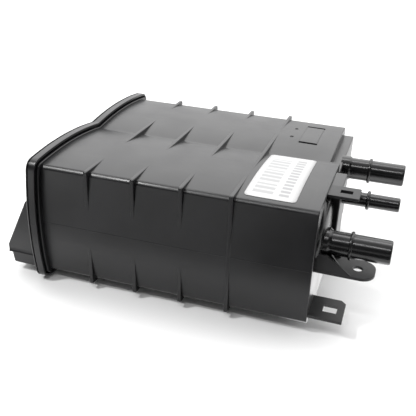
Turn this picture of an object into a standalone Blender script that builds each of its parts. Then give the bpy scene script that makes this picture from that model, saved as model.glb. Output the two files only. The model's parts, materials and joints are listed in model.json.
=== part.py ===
"""Charcoal canister for fuel vapour.

A lobed plastic housing holds two rooms of carbon side by side. Its port end carries three
beaded spigots, two slotted tabs and an ear. The other end is open and is closed by a welded cap.
Everything is modelled round the first hoop rib: X runs to the ports, Y across the two rooms and
Z up. An empty then puts the middle of the base at the world's origin.
"""
import math

import bpy
import bmesh
from mathutils import Matrix, Vector

MM = 0.001
TOUCH = 0.3 * MM          # gap between pieces that touch
BITE = 1.0 * MM           # how far a joined form sinks into the form that carries it

# Housing shell, measured at the first hoop rib
body_width = 171.2 * MM
body_height = 83.4 * MM
corner_radius = 3.0 * MM
side_draft = 0.011        # each side face leans in by this share of the length
top_draft = 0.0025        # top and bottom lean in by this share
top_crown = 2.45 * MM     # rise of each lobe above the body's corners
side_crown = 3.3 * MM     # bulge of the two side faces
crown_peak = 0.447        # where a lobe peaks, as a share from its corner to the valley
port_crown = 0.5          # share of the crown that is left at the port end
wall = 2.5 * MM
partition = 2.5 * MM
open_bay = 40.0 * MM      # first hoop to the open end
port_bay = 54.5 * MM      # last hoop to the port end
rear_setback = 7.0 * MM   # the rear lobe ends this much earlier
crossover = 14.0 * MM     # the partition stops this far from the open end
floor_thickness = 3.0 * MM

# Hoop ribs
hoop_count = 4
hoop_pitch = 33.5 * MM
hoop_thickness = 2.8 * MM
hoop_corner = 1.5 * MM
hoop_side_stand = 2.9 * MM
hoop_top_stand = 2.05 * MM

# Welded flange and cap
flange_thickness = 4.8 * MM
flange_side_stand = 3.6 * MM
flange_top_stand = 1.4 * MM
trap_gap = 1.6 * MM       # open channel between flange and skirt
skirt_wall = 1.6 * MM
cap_plate = 2.6 * MM
cap_chamfer = 0.8 * MM
seam_depth = 0.5 * MM
seam_half = 0.3 * MM
seam_place = 0.96 * MM     # outwards from the cap plate's inner face

# Wedge foot on the cap
foot_reach = 27.0 * MM
foot_nose = 8.5 * MM      # flat part of its top
foot_top_drop = 30.7 * MM  # below the body's top corner line
foot_knee_rise = 9.8 * MM  # lip above the body's bottom corner line
foot_lip = 2.2 * MM       # the lower block steps in by this
foot_lip_height = 4.6 * MM
foot_lean = 1.4 * MM
foot_edge = 1.0 * MM       # small chamfers of its outline
foot_side_step = 1.2 * MM  # its lower block is this much narrower at each end
foot_wall = 2.5 * MM
foot_rooms = 7

# Spigots
large_tube = 15.8 * MM
large_bead = 18.7 * MM
large_bore = 12.0 * MM
large_bead_to_tip = 25.0 * MM
small_tube = 9.5 * MM
small_bead = 12.9 * MM
small_bore = 6.6 * MM
small_bead_to_tip = 20.6 * MM
bead_thickness = 2.4 * MM
tank_collar = 1.4 * MM
purge_collar = 1.0 * MM
vent_collar = 0.8 * MM
tip_round = 1.2 * MM
port_reach = 45.0 * MM    # spigot tips beyond the front lobe's end
tank_inset = 21.0 * MM    # tank spigot from the body's front side
tank_drop = 29.2 * MM     # and below its top corner line
purge_offset = 30.0 * MM  # purge spigot in front of the partition
vent_offset = 25.3 * MM   # vent spigot behind the partition
vent_drop = 12.8 * MM     # vent spigot below the top corner line
purge_drop = 11.8 * MM    # and the purge spigot

# Forms moulded on the port end
rim_width = 4.5 * MM      # between the body's front side and the moat round the dome
moat_width = 2.0 * MM
recess_depth = 3.2 * MM
dome_rise = 4.6 * MM      # above the rim
dome_half_width = 25.0 * MM
dome_half_height = 25.5 * MM
dome_squareness = 3.4     # 2 is a plain ellipse, more has steeper sides and a flatter top
dome_steps = 7
plateau_top_drop = 6.2 * MM
plateau_side_inset = 3.4 * MM
purge_box_width = 30.0 * MM
purge_box_rise = 7.8 * MM
purge_box_foot = 20.0 * MM  # its bottom below mid-height
edge_round = 0.8 * MM

# Tabs and ear
tab_thickness = 2.0 * MM
tab_edge = 0.4 * MM
tab_root = 4.2 * MM           # tabs and ear start this far inside the port end
upper_tab_width = 16.5 * MM
upper_tab_reach = 19.9 * MM
upper_tab_inset = 28.9 * MM   # from the body's front side
upper_tab_drop = 1.7 * MM     # below the body's crown there
lower_tab_width = 25.2 * MM
lower_tab_reach = 22.2 * MM
lower_tab_inset = 0.4 * MM
lower_tab_rise = 7.6 * MM     # its top above the body's bottom corner line
tab_chamfer = 3.3 * MM
upper_window = (7.1 * MM, 8.0 * MM, 5.0 * MM)   # from the port end, length, width
lower_window = (8.4 * MM, 9.0 * MM, 8.5 * MM)
ear_width = 23.5 * MM
ear_reach = 37.3 * MM
ear_thickness = 2.0 * MM
ear_drop = 3.0 * MM           # its top below mid-height
ear_round = 9.0 * MM
ear_hole = 6.6 * MM
ear_hole_reach = 26.1 * MM
gusset_thickness = 1.8 * MM
gusset_inset = 0.3 * MM     # the outer ones stand in from the ear's sides
gusset_height = 11.4 * MM
gusset_reach = (22.9 * MM, 14.2 * MM, 14.2 * MM)
gusset_shoulder = 6.9 * MM    # flat top of the gussets from the port end

# Plain panel and dimples on top of the rear lobe
panel_length = 14.4 * MM
panel_width = 41.8 * MM
panel_depth = 0.5 * MM
panel_to_end = 14.4 * MM      # from the rear lobe's end
panel_inset = 26.7 * MM       # from the partition's middle
dimple_size = (3.2 * MM, 4.4 * MM)
dimple_depth = 0.9 * MM
dimple_to_panel = 7.0 * MM
dimple_inset = (10.0 * MM, 29.4 * MM)   # from the panel's near end

# Inner pieces
fit_gap = 0.5 * MM            # round each loose plate, pad and bed
divider_inset = 38.6 * MM     # divider between tank and purge, from the front side
divider_wall = 2.5 * MM
divider_length = 26.0 * MM
standoff = 5.0 * MM
standoff_wall = 2.0 * MM
grid_thickness = 2.0 * MM
filter_thickness = 4.0 * MM
pad_thickness = 5.0 * MM
plate_thickness = 2.5 * MM
spring_length = 20.0 * MM
spring_diameter = 19.0 * MM
spring_wire = 1.5 * MM
spring_turns = 4.5
spring_spread = 20.0 * MM     # above and below mid-height
spring_offset = 42.0 * MM     # from the partition's middle
boss_height = 2.5 * MM
boss_gap = 0.9 * MM           # between a boss and the spring round it
plate_hole = 6.0 * MM
plate_hole_pitch = 14.5 * MM
slot_width = 3.0 * MM
slot_pitch = 9.0 * MM
slot_share = 0.7              # of half the grid's height that a slot takes up

# Label
label_length = 33.3 * MM
label_width = 76.5 * MM
label_thickness = 0.2 * MM
label_corner = 2.6 * MM
label_corner_steps = 4
label_to_end = 16.0 * MM
label_side_inset = 6.6 * MM

# Fineness of the curved outlines
lobe_steps = 10
side_steps = 10
corner_steps = 3
round_steps = 28
bore_steps = 24
boss_steps = 16
coil_steps = 10           # points in one turn of a spring
panel_steps = 4
bead_steps = 4

# Places worked out from the sizes above
last_hoop = (hoop_count - 1) * hoop_pitch
port_end = last_hoop + port_bay
rear_end = port_end - rear_setback
open_end = -open_bay
crown_holds_to = last_hoop - hoop_pitch
cap_inside = open_end - TOUCH
cap_outside = cap_inside - cap_plate
foot_outside = cap_outside - foot_reach
tip_plane = port_end + port_reach
skirt_side = flange_side_stand + trap_gap + skirt_wall
skirt_top = flange_top_stand + trap_gap + skirt_wall


def half_width(x):
    """Half the body's width between its corners at x."""
    return body_width / 2 - side_draft * x


def half_height(x):
    """Half the body's height between its corners at x."""
    return body_height / 2 - top_draft * x


def crown_share(x):
    """How much of the crown is left at x: all of it, then less towards the ports."""
    beyond = max(0.0, x - crown_holds_to) / (port_end - crown_holds_to)
    return 1 - (1 - port_crown) * beyond


def lobe_rise(share):
    """Height of a lobe over its corner, from the corner (0) to the valley (1)."""
    return top_crown * (1 - ((share - crown_peak) / crown_peak) ** 2)


def top_at(x, y):
    """Height of the body's top surface."""
    run = half_width(x) - corner_radius
    share = max(0.0, 1 - abs(y) / run)
    return half_height(x) + crown_share(x) * lobe_rise(share)


lowest = -(half_height(open_end) + skirt_top + top_crown)

# Port places, round the first hoop and mid-height
tank_y = tank_inset - half_width(0)
tank_z = half_height(0) - tank_drop
purge_y = -purge_offset
vent_y = vent_offset
purge_z = half_height(0) - purge_drop
vent_z = half_height(0) - vent_drop
divider_y = divider_inset - half_width(0)


def clear_scene():
    for old in list(bpy.data.objects):
        bpy.data.objects.remove(old, do_unlink=True)


def new_collection(name):
    collection = bpy.data.collections.new(name)
    bpy.context.scene.collection.children.link(collection)
    return collection


def material(name, colour, roughness, metallic=0.0):
    made = bpy.data.materials.new(name)
    made.use_nodes = True
    shader = made.node_tree.nodes["Principled BSDF"]
    shader.inputs["Base Color"].default_value = (*colour, 1.0)
    shader.inputs["Roughness"].default_value = roughness
    shader.inputs["Metallic"].default_value = metallic
    return made


clear_scene()
parts = new_collection("charcoal_canister")
tools = new_collection("canister_cutters")
frame = bpy.data.objects.new("canister_frame", None)
frame.location = (-(foot_outside + tip_plane) / 2, 0, -lowest)
parts.objects.link(frame)

black_plastic = material("black_plastic", (0.022, 0.022, 0.024), 0.38)
spring_steel = material("spring_steel", (0.55, 0.55, 0.56), 0.3, 1.0)
carbon = material("carbon", (0.012, 0.012, 0.012), 0.9)
fleece = material("fleece", (0.75, 0.75, 0.72), 0.95)
foam = material("foam", (0.08, 0.08, 0.085), 0.95)
grey_plastic = material("grey_plastic", (0.18, 0.18, 0.19), 0.5)
paper = material("paper", (0.9, 0.9, 0.9), 0.55)


def place(thing, collection, look=None):
    """Put an object in its collection, under the frame, with its material."""
    for old in list(thing.users_collection):
        old.objects.unlink(thing)
    collection.objects.link(thing)
    thing.parent = frame
    if look:
        thing.data.materials.clear()
        thing.data.materials.append(look)
    if collection is tools:
        thing.hide_render = True
        thing.display_type = "WIRE"
    return thing


def mesh_object(name, bm, collection=tools, look=None):
    mesh = bpy.data.meshes.new(name)
    bm.to_mesh(mesh)
    bm.free()
    return place(bpy.data.objects.new(name, mesh), collection, look)


def loft(name, rings, collection=tools, look=None):
    """Closed solid through a row of rings that have the same number of points."""
    bm = bmesh.new()
    loops = [[bm.verts.new(point) for point in ring] for ring in rings]
    for first, second in zip(loops, loops[1:]):
        for index, corner in enumerate(first):
            following = (index + 1) % len(first)
            bm.faces.new((corner, first[following], second[following], second[index]))
    bm.faces.new(loops[0])
    bm.faces.new(loops[-1])
    bmesh.ops.recalc_face_normals(bm, faces=bm.faces)
    return mesh_object(name, bm, collection, look)


def box(name, low, high, rounding=0.0, collection=tools):
    """Box between two corners, with its edges rounded."""
    low = Vector(low)
    high = Vector(high)
    bm = bmesh.new()
    bmesh.ops.create_cube(bm, size=1.0)
    bmesh.ops.scale(bm, vec=high - low, verts=bm.verts)
    made = mesh_object(name, bm, collection)
    made.location = (low + high) / 2
    if rounding:
        bevel = made.modifiers.new("edges", "BEVEL")
        bevel.width = rounding
        bevel.segments = 2
    return made


def cylinder(name, radius, start, length, steps=bore_steps, collection=tools):
    """Cylinder along X from a start point, turned half a facet."""
    bm = bmesh.new()
    bmesh.ops.create_cone(bm, cap_ends=True, segments=steps, radius1=radius,
                          radius2=radius, depth=length,
                          matrix=Matrix.Rotation(math.pi / steps, 4, "Z"))
    made = mesh_object(name, bm, collection)
    made.rotation_euler = (0, math.pi / 2, 0)
    made.location = Vector(start) + Vector((length / 2, 0, 0))
    return made


FACING = {
    "X": (math.pi / 2, 0, math.pi / 2),
    "Y": (math.pi / 2, 0, 0),
    "Z": (0, 0, 0),
}


def plate(name, outline, thickness, centre, facing, collection=tools, look=None):
    """Flat piece cut from a closed outline, with its broad faces towards one axis."""
    curve = bpy.data.curves.new(name + "_outline", "CURVE")
    curve.dimensions = "2D"
    curve.fill_mode = "BOTH"
    curve.extrude = thickness / 2
    spline = curve.splines.new("POLY")
    spline.points.add(len(outline) - 1)
    for point, (across, up) in zip(spline.points, outline):
        point.co = (across, up, 0, 1)
    spline.use_cyclic_u = True
    drawn = bpy.data.objects.new(name + "_outline", curve)
    tools.objects.link(drawn)
    graph = bpy.context.evaluated_depsgraph_get()
    mesh = bpy.data.meshes.new_from_object(drawn.evaluated_get(graph))
    bpy.data.objects.remove(drawn, do_unlink=True)
    bm = bmesh.new()
    bm.from_mesh(mesh)
    bpy.data.meshes.remove(mesh)
    bmesh.ops.remove_doubles(bm, verts=bm.verts, dist=0.00001)
    bmesh.ops.recalc_face_normals(bm, faces=bm.faces)
    made = mesh_object(name, bm, collection, look)
    made.rotation_euler = FACING[facing]
    made.location = centre
    return made


def arc(centre, radius, start, end, steps):
    """Points of an arc, angles in degrees."""
    points = []
    for step in range(steps + 1):
        angle = math.radians(start + (end - start) * step / steps)
        points.append((centre[0] + radius * math.cos(angle),
                       centre[1] + radius * math.sin(angle)))
    return points


def rounded_rectangle(half_across, half_up, radius, steps=corner_steps):
    across = half_across - radius
    up = half_up - radius
    return (arc((across, up), radius, 0, 90, steps)
            + arc((-across, up), radius, 90, 180, steps)
            + arc((-across, -up), radius, 180, 270, steps)
            + arc((across, -up), radius, 270, 360, steps))


def turned(name, profile, root, collection=tools):
    """Solid turned round an axis along X. The profile runs from its tip to its root."""
    bm = bmesh.new()
    points = [bm.verts.new((radius, 0, along)) for radius, along in profile]
    for first, second in zip(points, points[1:]):
        bm.edges.new((first, second))
    made = mesh_object(name, bm, collection)
    screw = made.modifiers.new("turn", "SCREW")
    screw.steps = round_steps
    screw.render_steps = round_steps
    screw.use_merge_vertices = True
    screw.merge_threshold = 0.00001
    made.rotation_euler = (0, math.pi / 2, 0)
    made.location = root
    return made


def combine(target, tool, operation):
    change = target.modifiers.new(tool.name, "BOOLEAN")
    change.operation = operation
    change.solver = "EXACT"
    change.object = tool


def join(target, *pieces):
    for piece in pieces:
        combine(target, piece, "UNION")


def cut(target, *pieces):
    for piece in pieces:
        combine(target, piece, "DIFFERENCE")


def shell_ring(x, side_grow=0.0, top_grow=0.0):
    """Outline of the housing at x, grown outwards for flanges."""
    radius = corner_radius + min(side_grow, top_grow)
    half_w = half_width(x) + side_grow
    half_h = half_height(x) + top_grow
    run = half_w - radius
    rise = half_h - radius
    share = crown_share(x)
    upper = []
    for step in range(-lobe_steps, lobe_steps + 1):
        y = run * step / lobe_steps
        upper.append((y, half_h + share * lobe_rise(1 - abs(y) / run)))
    corner = arc((run, rise), radius, 90, 0, corner_steps)[1:-1]
    side = []
    for step in range(side_steps + 1):
        z = rise * (1 - 2 * step / side_steps)
        side.append((half_w + share * side_crown * (1 - (z / rise) ** 2), z))
    rear = corner + side + [(y, -z) for y, z in reversed(corner)]
    lower = [(y, -z) for y, z in reversed(upper)]
    front = [(-y, -z) for y, z in rear]
    return [(x, y, z) for y, z in upper + rear + lower + front]


def room_ring(x, side, near, far=None, clear=0.0):
    """Outline of one carbon room at x, or of a piece that fits in it.

    side is -1 in front of the partition and 1 behind it. near and far are distances from the
    middle, and with no far the room reaches the outer wall.
    """
    inset = wall + clear
    share = crown_share(x)
    y_near = near + clear
    y_far = half_width(x) - inset if far is None else far - clear
    top = []
    for step in range(lobe_steps + 1):
        y = y_near + (y_far - y_near) * step / lobe_steps
        top.append((y, top_at(x, y) - inset))
    bulge = side_crown * share if far is None else 0.0
    reach = top[-1][1]
    outer = []
    for step in range(1, side_steps):
        z = reach * (1 - 2 * step / side_steps)
        outer.append((y_far + bulge * (1 - (z / reach) ** 2), z))
    ring = top + outer + [(y, -z) for y, z in reversed(top)]
    return [(x, side * y, z) for y, z in ring]


def stations(start, end):
    """Places along the body where a loft has a ring."""
    return [start] + [x for x in (crown_holds_to,) if start < x < end] + [end]


def room_solid(name, start, end, side, near, far=None, clear=0.0, collection=tools, look=None):
    rings = [room_ring(x, side, near, far, clear) for x in stations(start, end)]
    return loft(name, rings, collection, look)


def spigot(name, tube, bead, bead_to_tip, centre_y, centre_z, root, collar):
    """Beaded quick-connect spigot with a collar at its root."""
    length = tip_plane - root
    radius = tube / 2
    middle = length - bead_to_tip
    profile = [(0, length), (radius - tip_round, length)]
    profile += [(radius - tip_round + across, length - tip_round + up)
                for across, up in arc((0, 0), tip_round, 60, 0, 2)]
    ridge = (bead - tube) / 2
    for step in range(bead_steps + 1):
        angle = math.pi * step / bead_steps
        profile.append((radius + ridge * math.sin(angle),
                        middle + bead_thickness / 2 * math.cos(angle)))
    collar_end = port_end + dome_rise + collar - root
    profile += [(radius, collar_end + collar), (radius + collar, collar_end),
                (radius + collar, 0), (0, 0)]
    return turned(name, profile, (root, centre_y, centre_z))


def build_shell():
    """Lobed outer form with the front lobe longer than the rear one."""
    body = loft("canister_body", [shell_ring(x) for x in stations(open_end, port_end)],
                parts, black_plastic)
    setback = box("rear_setback", (rear_end, partition / 2, -body_height),
                  (port_end + BITE, body_width, body_height))
    flange = loft("flange", [shell_ring(x, flange_side_stand, flange_top_stand)
                             for x in (open_end, open_end + flange_thickness)])
    cut(body, setback)
    join(body, flange)
    for number in range(hoop_count):
        x = number * hoop_pitch
        outline = rounded_rectangle(half_width(x) + hoop_side_stand,
                                    half_height(x) + hoop_top_stand, hoop_corner)
        join(body, plate(f"hoop_{number + 1}", outline, hoop_thickness, (x, 0, 0), "X"))
    return body


def shape_port_end(body):
    """Recess, dome, purge box and vent plateau."""
    recess_floor = port_end - recess_depth
    dome_y = rim_width + moat_width + dome_half_width - half_width(port_end)
    moat = []
    for step in range(round_steps):
        angle = 2 * math.pi * step / round_steps
        moat.append(((dome_half_width + moat_width) * math.cos(angle),
                     (dome_half_height + moat_width) * math.sin(angle)))
    cut(body, plate("moat", moat, recess_depth + BITE,
                    (recess_floor + (recess_depth + BITE) / 2, dome_y, tank_z), "X"))
    profile = []
    for step in range(dome_steps + 1):
        angle = math.pi / 2 * step / dome_steps
        profile.append((dome_half_width * math.sin(angle) ** (2 / dome_squareness),
                        (dome_rise + recess_depth) * math.cos(angle) ** (2 / dome_squareness)))
    profile[-1] = (dome_half_width, -BITE)
    profile.append((0, -BITE))
    dome = turned("dome", profile, (recess_floor, dome_y, tank_z))
    dome.scale = (dome_half_height / dome_half_width, 1, 1)
    join(body, dome)

    box_y = purge_y
    purge_box = box("purge_box",
                    (rear_end, box_y - purge_box_width / 2, -purge_box_foot),
                    (port_end + purge_box_rise, box_y + purge_box_width / 2,
                     half_height(port_end) - edge_round), edge_round)
    plateau_top = half_height(rear_end) - plateau_top_drop
    plateau = box("plateau", (rear_end - BITE, -BITE, -plateau_top),
                  (port_end + edge_round, half_width(rear_end) - plateau_side_inset, plateau_top),
                  edge_round)
    join(body, purge_box, plateau)


def add_spigots(body):
    root = port_end - BITE
    join(body,
         spigot("tank_spigot", large_tube, large_bead, large_bead_to_tip, tank_y, tank_z,
                root, tank_collar),
         spigot("purge_spigot", small_tube, small_bead, small_bead_to_tip, purge_y, purge_z,
                root, purge_collar),
         spigot("vent_spigot", large_tube, large_bead, large_bead_to_tip, vent_y, vent_z,
                root, vent_collar))


def window(name, sizes, centre_y, top):
    """Cutter for the slot of a tab."""
    root, length, width = sizes
    return box(name, (port_end + root, centre_y - width / 2, top - tab_thickness - BITE),
               (port_end + root + length, centre_y + width / 2, top + BITE))


def add_tabs(body):
    """Two slotted clip tabs on the front lobe's end."""
    side = -half_width(port_end)
    upper_y = side + upper_tab_inset + upper_tab_width / 2
    upper_top = top_at(port_end, upper_y) - upper_tab_drop
    upper = box("upper_tab",
                (port_end - BITE, upper_y - upper_tab_width / 2, upper_top - tab_thickness),
                (port_end + upper_tab_reach, upper_y + upper_tab_width / 2, upper_top), tab_edge)
    lower_top = lower_tab_rise - half_height(port_end)
    lower_y = side + lower_tab_inset
    outline = [(-tab_root, 0), (lower_tab_reach, 0),
               (lower_tab_reach, lower_tab_width - tab_chamfer),
               (lower_tab_reach - tab_chamfer, lower_tab_width), (-tab_root, lower_tab_width)]
    lower = plate("lower_tab", outline, tab_thickness,
                  (port_end, lower_y, lower_top - tab_thickness / 2), "Z")
    join(body, upper, lower)
    cut(body, window("upper_window", upper_window, upper_y, upper_top),
        window("lower_window", lower_window, lower_y + lower_tab_width / 2, lower_top))


def add_ear(body):
    """Mounting ear under the tank spigot, braced by gussets."""
    top = -ear_drop
    low_y = tank_y - ear_width / 2
    outline = ([(-tab_root, 0), (ear_reach - ear_round, 0)]
               + arc((ear_reach - ear_round, ear_round), ear_round, -90, 0, 6)
               + arc((ear_reach - ear_round, ear_width - ear_round), ear_round, 0, 90, 6)
               + [(-tab_root, ear_width)])
    join(body, plate("ear", outline, ear_thickness,
                     (port_end, low_y, top - ear_thickness / 2), "Z"))
    spacing = (ear_width - 2 * gusset_inset - gusset_thickness) / (len(gusset_reach) - 1)
    for number, reach in enumerate(gusset_reach):
        y = low_y + gusset_inset + gusset_thickness / 2 + number * spacing
        shoulder = min(gusset_shoulder, reach / 3)
        outline = [(-tab_root, -BITE), (reach, -BITE), (reach, 0),
                   (shoulder, gusset_height), (-tab_root, gusset_height)]
        join(body, plate(f"gusset_{number + 1}", outline, gusset_thickness,
                         (port_end, y, top), "Y"))
    bm = bmesh.new()
    bmesh.ops.create_cone(bm, cap_ends=True, segments=bore_steps, radius1=ear_hole / 2,
                          radius2=ear_hole / 2, depth=3 * ear_thickness)
    hole = mesh_object("ear_hole", bm)
    hole.location = (port_end + ear_hole_reach, tank_y, top - ear_thickness / 2)
    cut(body, hole)


def mark_rear_lobe(body):
    """Plain panel and two dimples, sunk into the crowned top of the rear lobe."""
    end = rear_end - panel_to_end
    start = end - panel_length
    rings = []
    for step in range(panel_steps + 1):
        y = panel_inset + panel_width * step / panel_steps
        rings.append([(start, y, top_at(start, y) - panel_depth),
                      (end, y, top_at(end, y) - panel_depth),
                      (end, y, body_height), (start, y, body_height)])
    cut(body, loft("panel", rings))
    x = start - dimple_to_panel
    for number, inset in enumerate(dimple_inset):
        y = panel_inset + inset
        bm = bmesh.new()
        bmesh.ops.create_cone(bm, cap_ends=True, segments=boss_steps, radius1=dimple_size[0] / 4,
                              radius2=dimple_size[0] / 2, depth=2 * dimple_depth)
        dimple = mesh_object(f"dimple_{number + 1}", bm)
        dimple.scale = (1, dimple_size[1] / dimple_size[0], 1)
        dimple.location = (x, y, top_at(x, y))
        cut(body, dimple)


def hollow_body(body):
    """Two carbon rooms, the room behind the vent plateau and the three bores."""
    room_floor = port_end - recess_depth - floor_thickness
    rear_floor = rear_end - floor_thickness
    cut(body,
        room_solid("front_room", open_end - BITE, room_floor, -1, partition / 2),
        room_solid("rear_room", open_end - BITE, rear_floor, 1, partition / 2))
    plateau_top = half_height(rear_end) - plateau_top_drop - wall
    cut(body, box("vent_room", (rear_floor - BITE, partition, -plateau_top),
                  (port_end + edge_round - floor_thickness,
                   half_width(rear_end) - plateau_side_inset - wall, plateau_top)))
    cut(body, box("purge_room",
                  (room_floor - BITE, purge_y - purge_box_width / 2 + wall, wall - purge_box_foot),
                  (port_end + purge_box_rise - wall, purge_y + purge_box_width / 2 - wall,
                   half_height(port_end) - edge_round - wall)))
    cut(body, box("crossover", (open_end - BITE, -partition, 2 * wall - half_height(0)),
                  (open_end + crossover, partition, half_height(0) - 2 * wall)))


def add_inner_walls(body):
    """Divider between the tank and purge filters, and the standoffs under the grids."""
    room_floor = port_end - recess_depth - floor_thickness
    rear_floor = rear_end - floor_thickness
    height = half_height(port_end) - wall / 2
    divider = box("divider", (room_floor - divider_length, divider_y - divider_wall / 2, -height),
                  (room_floor + BITE, divider_y + divider_wall / 2, height))
    join(body, divider)
    tall = half_height(rear_end) - plateau_top_drop - wall + BITE
    tank_middle = (divider_y - half_width(port_end)) / 2
    rear_middle = half_width(port_end) / 2
    shallow = room_floor + BITE
    behind_box = port_end + purge_box_rise - wall + BITE
    behind_plateau = port_end + edge_round - floor_thickness + BITE
    for name, y, inside, outside, end in (
            ("tank_lower", tank_middle, room_floor, shallow, -1),
            ("tank_upper", tank_middle, room_floor, shallow, 1),
            ("purge_lower", purge_y, room_floor, shallow, -1),
            ("purge_upper", purge_y, room_floor, behind_box, 1),
            ("vent_near_lower", rear_middle - spring_spread, rear_floor, behind_plateau, -1),
            ("vent_far_lower", rear_middle + spring_spread, rear_floor, behind_plateau, -1),
            ("vent_far_upper", rear_middle + spring_spread, rear_floor, behind_plateau, 1)):
        low_z = min(end * tall, end * tall / 2)
        join(body, box(f"{name}_standoff", (inside - standoff, y - standoff_wall / 2, low_z),
                       (outside, y + standoff_wall / 2, low_z + tall / 2)))


def bore_spigots(body):
    """Gas ways from the spigots' tips into the rooms."""
    start = rear_end - floor_thickness - standoff - BITE
    for name, y, z, bore in (("tank_bore", tank_y, tank_z, large_bore),
                             ("purge_bore", purge_y, purge_z, small_bore),
                             ("vent_bore", vent_y, vent_z, large_bore)):
        cut(body, cylinder(name, bore / 2, (start, y, z), tip_plane + BITE - start))


def build_cap():
    """Dished cap with a skirt round the flange, a wedge foot and spring bosses."""
    seam = cap_inside - seam_place
    profile = [(cap_outside, -cap_chamfer), (cap_outside + cap_chamfer, 0),
               (seam - seam_half, 0), (seam, -seam_depth), (seam + seam_half, 0),
               (open_end + flange_thickness, 0)]
    cap = loft("end_cap", [shell_ring(x, skirt_side + change, skirt_top + change)
                           for x, change in profile], parts, black_plastic)
    inside = loft("cap_inside", [shell_ring(x, skirt_side - skirt_wall, skirt_top - skirt_wall)
                                 for x in (cap_inside, open_end + flange_thickness + BITE)])
    cut(cap, inside)

    top = half_height(0) - foot_top_drop
    bottom = -half_height(0)
    knee = bottom + foot_knee_rise + foot_lip_height
    lip = bottom + foot_knee_rise - foot_edge
    start = cap_outside + BITE
    leaned = foot_outside + foot_lip + foot_lean
    upper_outline = [(start, top), (cap_outside - foot_nose, top),
                     (cap_outside - foot_nose - foot_edge, top - foot_edge / 2),
                     (foot_outside + foot_edge / 3, knee), (foot_outside, knee - foot_edge),
                     (foot_outside, lip + foot_edge), (foot_outside + foot_edge, lip),
                     (start, lip)]
    lower_outline = [(start, lip + BITE), (foot_outside + foot_lip, lip + BITE),
                     (leaned, bottom + foot_edge), (leaned + foot_edge, bottom), (start, bottom)]
    foot_width = 2 * half_width(open_end)
    join(cap, plate("foot_upper", upper_outline, foot_width, (0, 0, 0), "Y"),
         plate("foot_lower", lower_outline, foot_width - 2 * foot_side_step, (0, 0, 0), "Y"))
    inner = [(cap_outside - foot_wall, top - foot_wall),
             (cap_outside - foot_nose, top - foot_wall),
             (foot_outside + foot_wall, knee - foot_wall),
             (foot_outside + foot_wall + foot_lip, lip),
             (foot_outside + foot_wall + foot_lip + foot_lean, bottom - BITE),
             (cap_outside - foot_wall, bottom - BITE)]
    room_width = (foot_width - 2 * foot_side_step - foot_wall) / foot_rooms - foot_wall
    for number in range(foot_rooms):
        y = (number - (foot_rooms - 1) / 2) * (room_width + foot_wall)
        cut(cap, plate(f"foot_room_{number + 1}", inner, room_width, (0, y, 0), "Y"))
    for side in (-1, 1):
        for end in (-1, 1):
            boss = cylinder(f"cap_boss_{side + 2}_{end + 2}",
                            spring_diameter / 2 - spring_wire - boss_gap,
                            (cap_inside - BITE, side * spring_offset, end * spring_spread),
                            boss_height + BITE, boss_steps)
            join(cap, boss)
    return cap


def add_spring(name, side, end, start):
    """Compression spring between the cap and a retention plate."""
    wire_radius = spring_wire / 2
    reach = spring_length - 2 * wire_radius - 2 * TOUCH
    steps = int(spring_turns * coil_steps)
    curve = bpy.data.curves.new(name, "CURVE")
    curve.dimensions = "3D"
    curve.bevel_depth = wire_radius
    curve.bevel_resolution = 2
    curve.use_fill_caps = True
    spline = curve.splines.new("POLY")
    spline.points.add(steps)
    mean = (spring_diameter - spring_wire) / 2
    for step, point in enumerate(spline.points):
        angle = 2 * math.pi * spring_turns * step / steps
        along = wire_radius + TOUCH + reach * step / steps
        point.co = (along, mean * math.cos(angle), mean * math.sin(angle), 1)
    spring = bpy.data.objects.new(name, curve)
    place(spring, parts, spring_steel)
    spring.location = (start, side * spring_offset, end * spring_spread)
    return spring


def perforate(target, name, centre_y):
    """Rows of round holes through a plate, clear of its spring bosses."""
    middle_x = open_end + spring_length
    columns = int((half_width(0) - 2 * plate_hole) / plate_hole_pitch)
    rows = int((2 * half_height(0) - 2 * plate_hole) / plate_hole_pitch)
    for column in range(columns):
        y = centre_y + (column - (columns - 1) / 2) * plate_hole_pitch
        bm = bmesh.new()
        for row in range(rows):
            z = (row - (rows - 1) / 2) * plate_hole_pitch
            near_boss = math.hypot(abs(y) - spring_offset, abs(z) - spring_spread)
            if near_boss < (spring_diameter + plate_hole) / 2:
                continue
            made = bmesh.ops.create_cone(bm, cap_ends=True, segments=8, radius1=plate_hole / 2,
                                         radius2=plate_hole / 2, depth=6 * plate_thickness)
            bmesh.ops.translate(bm, verts=made["verts"], vec=(z, 0, 0))
        holes = mesh_object(f"{name}_holes_{column + 1}", bm)
        holes.rotation_euler = (0, math.pi / 2, 0)
        holes.location = (middle_x, y, 0)
        if holes.data.vertices:
            cut(target, holes)


def slot_plate(target, name, x, low_y, high_y, half_up):
    """Upright slots through a grid, one row above mid-height and one below."""
    count = int((high_y - low_y - slot_width) / slot_pitch)
    middle = (low_y + high_y) / 2
    for number in range(count):
        y = middle + (number - (count - 1) / 2) * slot_pitch
        bm = bmesh.new()
        for end in (-1, 1):
            made = bmesh.ops.create_cube(bm, size=1.0)
            bmesh.ops.scale(bm, vec=(6 * grid_thickness, slot_width, half_up * slot_share),
                            verts=made["verts"])
            bmesh.ops.translate(bm, vec=(0, 0, end * half_up / 2), verts=made["verts"])
        slots = mesh_object(f"{name}_slots_{number + 1}", bm)
        slots.location = (x, y, 0)
        cut(target, slots)


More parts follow.
